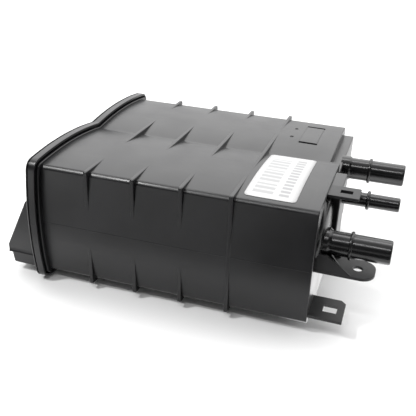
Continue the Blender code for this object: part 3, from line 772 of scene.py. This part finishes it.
# %% Ear and gussets
ear_width = 23.5 * MM
ear_reach = 37.3 * MM
ear_top = -3.0 * MM
ear_round = 9.0 * MM
ear_hole_radius = 3.3 * MM
ear_hole_reach = 26.1 * MM
ear_outline = soften([(-tab_root, -ear_width / 2, 0), (ear_reach, -ear_width / 2),
                      (ear_reach, ear_width / 2), (-tab_root, ear_width / 2, 0)],
                     ear_round, steps=14)
fuse(shell, tab("ear", ear_outline, tank_y, ear_top))

gusset_thickness = 1.8 * MM
gusset_inset = 0.3 * MM
gusset_edge = 0.3 * MM
gusset_height = 11.4 * MM
gusset_shoulder = 6.9 * MM
gusset_reach = (22.9 * MM, 14.2 * MM, 14.2 * MM)
gusset_pitch = (ear_width - gusset_thickness - 2 * gusset_inset) / 2
for number, reach in enumerate(gusset_reach):
    shoulder = min(gusset_shoulder, reach / 3)
    gusset_outline = [(-tab_root, -past), (reach, -past), (reach, 0), (shoulder, gusset_height),
                      (-tab_root, gusset_height)]
    gusset_centre = (port_end, tank_y + (number - 1) * gusset_pitch, ear_top)
    fuse(shell, plate(f"gusset_{number + 1}", gusset_outline, gusset_thickness, gusset_centre, "Y",
                      gusset_edge, tab_plastic))
ear_hole_outline = oval_outline(ear_hole_radius, ear_hole_radius, steps=48)
carve(shell, plate("ear_hole", ear_hole_outline, 2 * slot_cut,
                   (port_end + ear_hole_reach, tank_y, ear_top), "Z"))
print("gussets:", len(gusset_reach))


# %% [markdown]
# Marks on the rear lobe
#
# A plain panel lies on top of the rear lobe, hardly sunk, with a deeper line along each of its
# ends, a groove on the side towards the ports, and two dimples beside it. A flat cutter would cut
# deeper where the crown is higher, so each cutter is a small loft whose floor copies the shape of
# the top at one depth.

# %% Panel and dimples
def crowned_cutter(name, xs, ys, depth, steps=12):
    """Cutter whose floor runs at one depth under the crowned top."""
    rings = []
    for step in range(steps + 1):
        y = ys[0] + (ys[1] - ys[0]) * step / steps
        floor = [(x, y, top_at(x, y) - depth) for x in xs]
        rings.append([*floor, (xs[1], y, body_height), (xs[0], y, body_height)])
    return loft(name, rings)


def oval(name, centre, half_sizes, rings=16, segments=32):
    """Ball stretched to three half sizes."""
    bm = bmesh.new()
    bmesh.ops.create_uvsphere(bm, u_segments=segments, v_segments=rings, radius=1.0)
    bmesh.ops.scale(bm, vec=half_sizes, verts=bm.verts)
    bmesh.ops.translate(bm, vec=centre, verts=bm.verts)
    return shown(name, bm)


panel_x = (119.2 * MM, 133.6 * MM)
panel_y = (26.7 * MM, 68.5 * MM)
panel_depth = 0.15 * MM
groove_width = 0.7 * MM
groove_depth = 0.5 * MM
near_line = 3.4 * MM
far_line = 2.2 * MM
line_depth = 1.9 * MM
carve(shell, crowned_cutter("panel", panel_x, panel_y, panel_depth),
      crowned_cutter("panel_groove", (panel_x[1] - groove_width, panel_x[1]), panel_y, groove_depth),
      crowned_cutter("near_line", panel_x, (panel_y[0], panel_y[0] + near_line), line_depth, steps=2),
      crowned_cutter("far_line", panel_x, (panel_y[1] - far_line, panel_y[1]), line_depth, steps=2))

dimple_x = 112.2 * MM
dimple_lift = 0.6 * MM
dimple_half_sizes = (1.6 * MM, 2.2 * MM, 1.6 * MM)
for y in (36.7 * MM, 56.1 * MM):
    carve(shell, oval("dimple", (dimple_x, y, top_at(dimple_x, y) + dimple_lift), dimple_half_sizes))
print("panel of", [round((high - low) / MM, 1) for low, high in (panel_x, panel_y)], "mm")

# %% [markdown]
# Hollowing the housing
#
# The housing is a 2.5 mm wall round two carbon rooms. The rooms, the way across between them at
# the cap end and the rooms behind the ports are cut last, so that everything joined before is
# hollowed with it. Rooms that run into each other are cut one after the other.

# %% Rooms
floor_thickness = 3.0 * MM
room_overlap = 4.0 * MM
crossover_reach = 14.0 * MM
crossover_top = body_height / 2 - 5.0 * MM
ROOM_STEPS = 16
ROOM_SIDE_STEPS = 12


def room_ring(x, side):
    """Outline of a carbon room. Side is -1 in front of the partition and 1 behind it."""
    near = partition / 2
    far = half_width(x) - wall
    share = crown_share(x)
    top = []
    for step in range(ROOM_STEPS + 1):
        y = near + (far - near) * step / ROOM_STEPS
        top.append((y, top_at(x, y) - wall))
    reach = top[-1][1]
    outer = []
    for step in range(1, ROOM_SIDE_STEPS):
        z = reach * (1 - 2 * step / ROOM_SIDE_STEPS)
        outer.append((far + share * side_crown * (1 - (z / reach) ** 2), z))
    around = top + outer + [(y, -z) for y, z in reversed(top)]
    return [(x, side * y, z) for y, z in around]


past_open = open_end - past
for word, side, end in (("front", -1, recess_floor - floor_thickness),
                        ("rear", 1, rear_end - floor_thickness)):
    carve(shell, loft(f"{word}_room", [room_ring(x, side) for x in (past_open, crown_holds_to, end)]))
room_top = plateau_top - wall
carve(shell,
      block("crossover", (past_open, -partition, -crossover_top),
            (open_end + crossover_reach, partition, crossover_top)),
      block("vent_room", (rear_end - room_overlap, partition, -room_top),
            (plateau_face - floor_thickness, plateau_side - wall, room_top)),
      block("purge_room", (recess_floor - room_overlap, purge_y - purge_half + wall, wall - purge_foot),
            (port_end + purge_rise - wall, purge_y + purge_half - wall, purge_top - wall)))
print("floor in front of the tank port:", round(floor_thickness / MM, 1), "mm thick")


# %% [markdown]
# Bores, and the housing in one piece
#
# Each spigot is bored through to its room, with a small bevel at the mouth. Then all unions and
# cuts are applied. Where two faces of the tools nearly met, a union can leave slivers or a pair of
# faces on the same corners, so the mesh is swept once. The shading is made even, because long
# thin faces beside round edges would show as smears.

# %% Bores and housing
def bake(thing):
    """Turn an object's modifiers and place into plain mesh at the first rib."""
    graph = bpy.context.evaluated_depsgraph_get()
    mesh = bpy.data.meshes.new_from_object(thing.evaluated_get(graph))
    mesh.transform(Matrix.Translation(-first_rib) @ thing.matrix_world)
    fresh = bpy.data.objects.new(thing.name + "_baked", mesh)
    fresh.location = first_rib
    scene.collection.objects.link(fresh)
    bpy.data.objects.remove(thing, do_unlink=True)
    return fresh


def settle(target, name, sliver=0.002 * MM, sharp_angle=28):
    """Apply every union and cut, clear the tools away and shade the result."""
    made = bake(target)
    for tool in cutters:
        bpy.data.objects.remove(tool, do_unlink=True)
    cutters.clear()
    made.name = name
    made.data.name = name
    bm = bmesh.new()
    bm.from_mesh(made.data)
    bmesh.ops.dissolve_degenerate(bm, edges=bm.edges, dist=sliver)
    by_corners = {}
    for face in bm.faces:
        by_corners.setdefault(frozenset(vert.index for vert in face.verts), []).append(face)
    doubled = [face for faces in by_corners.values() if len(faces) > 1 for face in faces]
    bmesh.ops.delete(bm, geom=doubled, context="FACES")
    open_edges = [line for line in bm.edges if len(line.link_faces) != 2]
    bm.to_mesh(made.data)
    bm.free()
    made.data.shade_smooth()
    made.data.set_sharp_from_angle(angle=math.radians(sharp_angle))
    even = made.modifiers.new("even_shading", "WEIGHTED_NORMAL")
    even.keep_sharp = True
    print(name, "has", len(made.data.polygons), "faces;", len(doubled), "doubled ones are gone;",
          len(open_edges), "edges are open")
    return made


large_bore = 12.0 * MM
small_bore = 6.6 * MM
bore_mouth = 0.5 * MM
bore_steps = 64
bore_start = rear_end - floor_thickness - 2.0 * MM
bore_length = tip_plane - bore_start
for name, y, z, bore in (("tank_bore", tank_y, tank_z, large_bore),
                         ("purge_bore", purge_y, purge_z, small_bore),
                         ("vent_bore", vent_y, vent_z, large_bore)):
    bore_profile = [(0, bore_length + past), (bore / 2 + bore_mouth + past, bore_length + past),
                    (bore / 2, bore_length - bore_mouth), (bore / 2, 0), (0, 0)]
    carve(shell, turned(name, bore_profile, (bore_start, y, z), spigot_plastic, bore_steps))

housing = settle(shell, "housing")
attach(housing, "root")
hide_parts("canister_body")

# %% [markdown]
# The band of the end cap
#
# The cap is dished over the housing's flange and welded to it. Its band has a thin seam all
# round. It could be a box with a groove cut in, but the band is a loft whose rings grow and
# shrink: that draws the rounded rim and the seam in one piece.

# %% Cap band
gap = 0.3 * MM
skirt_wall = 1.6 * MM
trap = 1.6 * MM
cap_plate = 2.6 * MM
skirt_side = flange_side + trap + skirt_wall
skirt_top = flange_top + trap + skirt_wall
cap_inside = open_end - gap
cap_outside = cap_inside - cap_plate
skirt_end = flange_face - 1.3 * MM
rim = 0.9 * MM
rim_steps = 5
skirt_round = 0.5 * MM
lead_in = 0.15 * MM
cap_parting = 0.1 * MM
seam = cap_inside - 0.96 * MM
seam_half = ((0.62 * MM, 0.0), (0.45 * MM, lead_in), (0.3 * MM, 0.8 * MM))

cap_steps = [(cap_outside + rim * (1 - math.cos(angle)), -rim * (1 - math.sin(angle)))
             for angle in quarter_turn(rim_steps)]
cap_steps += [(seam - half, -deep) for half, deep in seam_half]
cap_steps += [(seam + half, -deep) for half, deep in reversed(seam_half)]
cap_steps += [(skirt_end - skirt_round, 0.0), (skirt_end - lead_in, -lead_in), (skirt_end, -skirt_round)]
cap_solid = loft("cap_band", [ring(x, skirt_side + grow, skirt_top + grow, cap_parting)
                              for x, grow in cap_steps], housing_plastic)
carve(cap_solid, loft("cap_inside", [ring(x, skirt_side - skirt_wall, skirt_top - skirt_wall, 0.0)
                                     for x in (cap_inside, skirt_end + past)]))
print("rings in the cap's band:", len(cap_steps))

# %% [markdown]
# The foot of the cap
#
# The wedge foot stands on the outside of the cap. It has a lip halfway up, which flares out at
# both ends, and it is cored out from below into seven rooms, as thick plastic has to be. Two
# plates make the wedge, the flares are plates whose outline is a quarter of an ellipse, and the
# cores follow the outer sizes at the thickness of the wall.

# %% Foot
foot_reach = 27.0 * MM
foot_shelf = 8.5 * MM
foot_outside = cap_outside - foot_reach
foot_top = half_height(0) - 30.7 * MM
foot_bottom = -half_height(0)
knee = foot_bottom + 14.4 * MM
lip = foot_bottom + 8.8 * MM
step_in = foot_outside + 2.2 * MM
toe = 1.5 * MM
foot_round = 1.0 * MM
cap_root = cap_outside + past
foot_width = 2 * half_width(open_end)
upper_foot_inset = 0.9 * MM
lower_foot_inset = 1.2 * MM
upper_foot_width = foot_width - 2 * upper_foot_inset
lower_foot_width = foot_width - 2 * lower_foot_inset
upper_foot = soften([(cap_root, foot_top, 0), (cap_outside - foot_shelf, foot_top, 1.5 * MM),
                     (foot_outside, knee, 1.6 * MM), (foot_outside, lip, 0.8 * MM),
                     (cap_root, lip, 0)], foot_round)
lower_foot = soften([(cap_root, lip + past, 0), (step_in, lip + past, 0),
                     (step_in + toe, foot_bottom, 1.2 * MM), (cap_root, foot_bottom, 0)], foot_round)
fuse(cap_solid,
     plate("upper_foot", upper_foot, upper_foot_width, (0, 0, 0), "Y", rounding=0.6 * MM,
           finish=housing_plastic),
     plate("lower_foot", lower_foot, lower_foot_width, (0, 0, 0), "Y", rounding=0.4 * MM,
           finish=housing_plastic))

flare_height = 4.2 * MM
flare_out = 0.95 * MM
flare_lift = 0.5 * MM
flare_steps = 8
flare_tuck = 0.05 * MM
flare_clear = 0.2 * MM
flare_length = foot_reach - 2 * flare_clear
flare_middle = cap_outside + flare_clear - flare_length / 2
flare_root = upper_foot_width / 2 - flare_tuck
flare_base = lip + flare_lift
flare = [(flare_root + flare_out * (1 - math.sin(angle)),
          flare_base + flare_height * (1 - math.cos(angle))) for angle in quarter_turn(flare_steps)]
flare += [(flare_root - past, flare_base + flare_height), (flare_root - past, lip),
          (flare_root + flare_out, lip)]
for side in (-1, 1):
    fuse(cap_solid, plate("foot_flare", [(side * y, z) for y, z in flare], flare_length,
                          (flare_middle, 0, 0), "X", finish=housing_plastic))

foot_wall = 2.5 * MM
foot_rooms = 7
core_round = 0.5 * MM
core_end = foot_bottom - 2 * past
core = soften([(cap_outside - foot_wall, foot_top - foot_wall),
               (cap_outside - foot_shelf, foot_top - foot_wall),
               (foot_outside + foot_wall, knee - foot_wall),
               (step_in + foot_wall, lip),
               (step_in + foot_wall + toe, core_end, 0),
               (cap_outside - foot_wall, core_end, 0)], core_round, steps=3)
core_pitch = (lower_foot_width - foot_wall) / foot_rooms
for number in range(foot_rooms):
    y = (number - (foot_rooms - 1) / 2) * core_pitch
    carve(cap_solid, plate(f"foot_core_{number + 1}", core, core_pitch - foot_wall, (0, y, 0), "Y",
                           core_round))

cap = settle(cap_solid, "cap")
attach(cap, "root")
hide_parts("end_cap")

# %% [markdown]
# The label's sheet
#
# A paper label with rounded corners sticks to the front lobe. A flat card would float over the
# valley or cut the crown, so its sheet is a grid of points on the crown, lifted by a hair and
# thickened. Each point also keeps its share of the sheet's length and width, for the print.

# %% Label sheet
label_length = 33.3 * MM
label_width = 76.5 * MM
label_corner = 2.6 * MM
label_start = port_end - 16.0 * MM - label_length
label_front = 6.6 * MM - half_width(label_start)
paper_lift = 0.04 * MM
paper_thickness = 0.2 * MM
LABEL_ROWS = 60
LABEL_COLUMNS = 8


def label_sheet_mesh():
    """Grid on the crown, with rounded corners and the shares kept as its print layer."""
    bm = bmesh.new()
    rows = []
    shares = {}
    for row in range(LABEL_ROWS + 1):
        across = label_width * (1 - math.cos(math.pi * row / LABEL_ROWS)) / 2
        to_corner = max(0.0, label_corner - across, across - label_width + label_corner)
        trim = label_corner - math.sqrt(max(0.0, label_corner ** 2 - to_corner ** 2))
        line = []
        for column in range(LABEL_COLUMNS + 1):
            along = trim + (label_length - 2 * trim) * column / LABEL_COLUMNS
            x = label_start + along
            y = label_front + across
            vertex = bm.verts.new((x, y, top_at(x, y) + paper_lift))
            shares[vertex] = (along / label_length, across / label_width)
            line.append(vertex)
        rows.append(line)
    uv = bm.loops.layers.uv.new("print")
    for first, second in zip(rows, rows[1:]):
        for left, right, far_right, far_left in zip(first, first[1:], second[1:], second):
            face = bm.faces.new((left, right, far_right, far_left))
            for loop in face.loops:
                loop[uv].uv = shares[loop.vert]
    bmesh.ops.recalc_face_normals(bm, faces=bm.faces)
    return bm


label = shown("label_sheet", label_sheet_mesh())
thicken = label.modifiers.new("paper", "SOLIDIFY")
thicken.thickness = paper_thickness
thicken.offset = 1.0
label.data.shade_smooth()
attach(label, "root")
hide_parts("label")
print("label faces:", len(label.data.polygons))

# %% [markdown]
# The label's print
#
# What is printed on the paper is only plain: a patch of grey bars, and beside it one row of
# blocks. An image would have to travel with the part, so the material draws the patches itself
# from the shares. A comb that is on for part of each of its teeth cuts a patch into bars.

# %% Label print
WHITE_PAPER = ((0.51, 0.51, 0.51), (0.53, 0.53, 0.53))
GREY_INK = (0.12, 0.12, 0.13)
FIBRE_SCALE = 900.0
bar_patch = {"along_from": 0.12, "along_to": 0.52, "across_from": 0.06, "across_to": 0.93}
bar_combs = ((13.0, 0.62), (3.3, 0.86))
bar_ink = 0.32
block_patch = {"along_from": 0.64, "along_to": 0.83, "across_from": 0.06, "across_to": 0.94}
block_combs = ((15.0, 0.6),)
block_ink = 0.42


def label_paper():
    """White paper with a patch of grey bars and one row of plain blocks."""
    made, wires = new_finish("label_paper")
    shares = wires.node("ShaderNodeUVMap", "UV", {}, uv_map="print")
    along = wires.axis("X", shares)
    across = wires.axis("Y", shares)

    def both(first, second):
        return wires.maths("MULTIPLY", first, second)

    def inside(value, low, high):
        return both(wires.maths("GREATER_THAN", value, low), wires.maths("LESS_THAN", value, high))

    def patch(along_from, along_to, across_from, across_to, combs, strength):
        """Ink of one patch. Each comb has a count of teeth and the share that is printed."""
        ink = both(inside(along, along_from, along_to), inside(across, across_from, across_to))
        for count, share in combs:
            tooth = wires.maths("FRACT", both(across, count))
            ink = both(ink, wires.maths("LESS_THAN", tooth, share))
        return both(ink, strength)

    ink = wires.maths("ADD", patch(**bar_patch, combs=bar_combs, strength=bar_ink),
                      patch(**block_patch, combs=block_combs, strength=block_ink))
    fibre = wires.noise(FIBRE_SCALE)
    wires.shade({"Base Color": wires.mixed(ink, wires.toned(fibre, *WHITE_PAPER), GREY_INK),
                 "Roughness": wires.between(fibre, 0.6, 0.7),
                 "Specular IOR Level": 0.15,
                 "Normal": wires.bumped(fibre, 0.00001)})
    return made


label.data.materials.append(label_paper())
print("label paper has", len(label.data.materials[0].node_tree.nodes), "nodes")

# %% [markdown]
# Finishes of the inner pieces
#
# The carbon beds, fleece, foam, plates and springs keep the solids of the frame, because their
# shapes are right. Each family gets the surface of its real material: pellets of carbon, felted
# fibres, open foam cells, grey nylon and drawn spring wire. Cells of a Voronoi texture make the
# pellets and the foam, each cell painted darker towards its edge as painted shade between the
# grains, and a noise that is stretched one way makes the fibres.

# %% Inner finishes
CELL_SPREAD = (0.0, 0.7)


def granular(name, dark, light, roughness, scale, depth):
    """Surface of packed grains or cells. Each cell is painted darker towards its edge: painted shade in
    the gaps between the grains.
    """
    made, wires = new_finish(name)
    cells = wires.node("ShaderNodeTexVoronoi", "Distance", {"Vector": wires.place, "Scale": scale})
    # Painted shade: the colour darkens towards each cell's edge, where the grains meet. The same values
    # also raise the bump.
    cell_rise_and_shade = wires.between(cells, 1.0, 0.0, CELL_SPREAD)
    wires.shade({"Base Color": wires.mixed(cell_rise_and_shade, dark, light),
                 "Roughness": wires.between(cells, roughness, 0.95, CELL_SPREAD),
                 "Normal": wires.bumped(cell_rise_and_shade, depth)})
    return made


def felted(name, dark, light, scale=1500.0, stretch=(1.0, 0.25, 1.0), depth=0.0002):
    """Matted fibres, drawn as a noise stretched along one direction."""
    made, wires = new_finish(name)
    stretched = wires.node("ShaderNodeMapping", "Vector", {"Vector": wires.place, "Scale": stretch})
    fibres = wires.noise(scale, detail=4.0, source=stretched)
    wires.shade({"Base Color": wires.toned(fibres, dark, light),
                 "Roughness": wires.between(fibres, 0.85, 0.98),
                 "Normal": wires.bumped(fibres, depth)})
    return made


def drawn_wire(name, dark, light, scale=800.0, depth=0.00002):
    """Bright wire with the fine marks of its die."""
    made, wires = new_finish(name)
    marks = wires.noise(scale)
    wires.shade({"Base Color": wires.toned(marks, dark, light),
                 "Roughness": wires.between(marks, 0.22, 0.38),
                 "Metallic": 1.0,
                 "Normal": wires.bumped(marks, depth)})
    return made


# The carbon and foam finishes paint shade towards the edges of their cells.
inner_finishes = {
    "carbon": granular("carbon_pellets", dark=(0.004, 0.004, 0.004), light=(0.02, 0.02, 0.02),
                       roughness=0.6, scale=420.0, depth=0.0008),
    "foam": granular("foam_cells", dark=(0.02, 0.02, 0.022), light=(0.09, 0.09, 0.095),
                     roughness=0.9, scale=700.0, depth=0.0005),
    "fleece": felted("fleece_fibres", dark=(0.6, 0.6, 0.57), light=(0.82, 0.82, 0.79)),
    "grey_plastic": moulded_plastic("grey_nylon", dark=(0.15, 0.15, 0.16), light=(0.2, 0.2, 0.21),
                                    gloss=(0.4, 0.5), grain=0.00002),
    "spring_steel": drawn_wire("spring_wire", dark=(0.42, 0.42, 0.43), light=(0.58, 0.58, 0.6)),
    "black_plastic": housing_plastic,
    "paper": label.data.materials[0],
}
slot_of_node = {part["node"]: part["material_slot"] for part in frame["record"]["subparts"]}
for node, thing in frame["nodes"].items():
    if not thing.material_slots:
        thing.data.materials.append(None)
    for material_slot in thing.material_slots:
        material_slot.material = inner_finishes[slot_of_node[node]]
print("nodes with a finish:", len(frame["nodes"]))

# %% [markdown]
# The light all round
#
# The photograph was lit from above and behind, with a bright surround low down and darkness
# behind the camera: the top of the canister mirrors the bright part and the spigots show a dark
# band. A world that changes with direction gives that in every view. The camera itself sees a
# plain white backdrop instead.

# %% World
# Each row is where a change starts and ends, and the strength before and after it. The glows run
# over the height of a direction, from -1 straight down to 1 straight up, and the last row over Y.
BEHIND_GLOWS = ((-0.02, 0.15, 1.0, 1.6), (0.32, 0.43, 0.0, 1.1))
CAMERA_SIDE_GLOWS = ((0.02, 0.2, 1.0, 0.06), (0.82, 0.97, 0.0, 0.8))
FRONT_TO_BEHIND = (-0.05, 0.25, 0.0, 1.0)


def studio_world():
    """World that is dark on the camera's side and bright behind."""
    world = bpy.data.worlds.new("studio")
    world.use_nodes = True
    wires = Wiring(world.node_tree, "Generated")
    height = wires.axis("Z")

    def glow(source, start, end, low, high):
        return wires.between(source, low, high, (start, end), interpolation_type="SMOOTHSTEP")

    def side(glows):
        return wires.maths("ADD", glow(height, *glows[0]), glow(height, *glows[1]))

    behindness = glow(wires.axis("Y"), *FRONT_TO_BEHIND)
    around = wires.node("ShaderNodeMix", "Result",
                        {"Factor": behindness, "A": side(CAMERA_SIDE_GLOWS), "B": side(BEHIND_GLOWS)})
    seen_directly = wires.node("ShaderNodeLightPath", "Is Camera Ray", {})
    backdrop = wires.node("ShaderNodeMix", "Result", {"Factor": seen_directly, "A": around, "B": 1.0})
    wires.feed(wires.nodes["Background"], {"Strength": backdrop, "Color": (1.0, 1.0, 1.0, 1.0)})
    return world


scene.world = studio_world()
scene.view_settings.view_transform = "Standard"
scene.view_settings.look = "None"
print("world:", scene.world.name)

# %% [markdown]
# The floor
#
# A large pale card carries the canister and takes its soft shadow. It lies a hair below the
# lowest solid, so that the two never share a plane.

# %% Floor
floor_half = 6.0
hair = 0.3 * MM


def pale_floor():
    bm = bmesh.new()
    bmesh.ops.create_grid(bm, x_segments=8, y_segments=8, size=floor_half)
    floor = shown("studio_floor", bm)
    floor.location = (0, 0, cad_low.z - hair)
    made, wires = new_finish("pale_card")
    soft = wires.noise(scale=6.0)
    wires.shade({"Base Color": wires.mixed(soft, (0.87, 0.87, 0.87), (0.89, 0.89, 0.89)),
                 "Roughness": 0.9,
                 "Specular IOR Level": 0.1})
    floor.data.materials.append(made)
    return floor


print("floor at, mm:", round(pale_floor().location.z / MM, 2))


# %% [markdown]
# Lamps
#
# A large lamp above and behind the canister lights the top. A long thin one in front draws the
# lines along the spigots, and a small strong one at the left front draws the bright stretch along
# the top edge. The last is wide and weak and fills the front without being mirrored. Area lamps
# are used throughout, because a point lamp would give hard shadows and round sparks.

# %% Lamps
def soft_lamp(name, place, towards, length, width, radiance, mirrored=True):
    """Rectangular lamp that lights and is mirrored, but isn't seen by the camera itself."""
    data = bpy.data.lights.new(name, "AREA")
    data.shape = "RECTANGLE"
    data.size = length
    data.size_y = width
    data.energy = radiance * math.pi * length * width
    lamp = bpy.data.objects.new(name, data)
    lamp.location = first_rib + Vector(place)
    facing = Vector(towards) - Vector(place)
    lamp.rotation_mode = "QUATERNION"
    lamp.rotation_quaternion = facing.to_track_quat("-Z", "Y")
    lamp.visible_camera = False
    lamp.visible_glossy = mirrored
    scene.collection.objects.link(lamp)


soft_lamp("overhead_lamp", place=(-0.05, 0.17, 1.0), towards=(0.05, 0.0, 0.0),
          length=0.8, width=0.14, radiance=5.8)
soft_lamp("strip_lamp", place=(0.06, -0.60, 0.76), towards=(0.1, -0.06, 0.03),
          length=0.5, width=0.05, radiance=25.0)
soft_lamp("edge_lamp", place=(-0.349, -0.428, 0.727), towards=(0.01, -0.085, 0.04),
          length=0.08, width=0.08, radiance=190.0)
soft_lamp("fill_lamp", place=(0.0, -1.1, 0.9), towards=(0.0, -0.2, 0.0),
          length=1.2, width=0.7, radiance=0.7, mirrored=False)
print("lamps:", len(bpy.data.lights))


# %% [markdown]
# Cards that only mirrors see
#
# The pale floor would shine back from every glossy face that leans towards it. A photographer
# lays cards beside the object to steer that. A large dark one lies in front, and a small bright
# one at the foot of the port end. Neither of them shows or casts a shadow, and each grows stronger
# towards the ports' side through its alpha, so that it has no hard start.

# %% Mirror cards
def mirror_card(name, middle, half_size, glow, cover, fade):
    """Card on the floor. Its cover goes from the first to the second value over the fade."""
    bm = bmesh.new()
    bmesh.ops.create_grid(bm, x_segments=1, y_segments=1, size=half_size)
    card = shown(name, bm)
    card.location = (*middle, cad_low.z + hair)
    made, wires = new_finish(name + "_finish")
    wires.shade({"Base Color": (0.0, 0.0, 0.0, 1.0),
                 "Specular IOR Level": 0.0,
                 "Emission Color": (1.0, 1.0, 1.0, 1.0),
                 "Emission Strength": glow,
                 "Alpha": wires.between(wires.axis("X"), *cover, fade)})
    card.data.materials.append(made)
    card.visible_camera = False
    card.visible_diffuse = False
    card.visible_shadow = False


mirror_card("dark_card", middle=(0.2, -0.64), half_size=0.5, glow=0.0, cover=(0.58, 1.0),
            fade=(-0.22, -0.1))
mirror_card("bright_card", middle=(0.115, -0.04), half_size=0.045, glow=2.3, cover=(0.0, 1.0),
            fade=(-0.045, -0.03))
print("cards lie", round(2 * hair / MM, 1), "mm over the floor")

# %% [markdown]
# Camera
#
# The camera stands where the photograph was taken from. It could be moved about until the view
# looks right, but the ribs, the housing's corners and the spigots fix it, so it was worked out from
# them. Its place is measured from the first rib, so it follows the part.

# %% Camera
camera_place = Vector((193.90, -419.39, 206.23)) * MM
camera_turns = (63.5885, -1.7575, 18.8916)
camera_data = bpy.data.cameras.new("studio_camera")
camera_data.sensor_width = 36.0
camera_data.lens = 53.695
camera = bpy.data.objects.new("studio_camera", camera_data)
camera.location = first_rib + camera_place
camera.rotation_euler = [math.radians(turn) for turn in camera_turns]
scene.collection.objects.link(camera)
scene.camera = camera
print("camera is", round(camera_place.length, 2), "m from the first rib")

# %% [markdown]
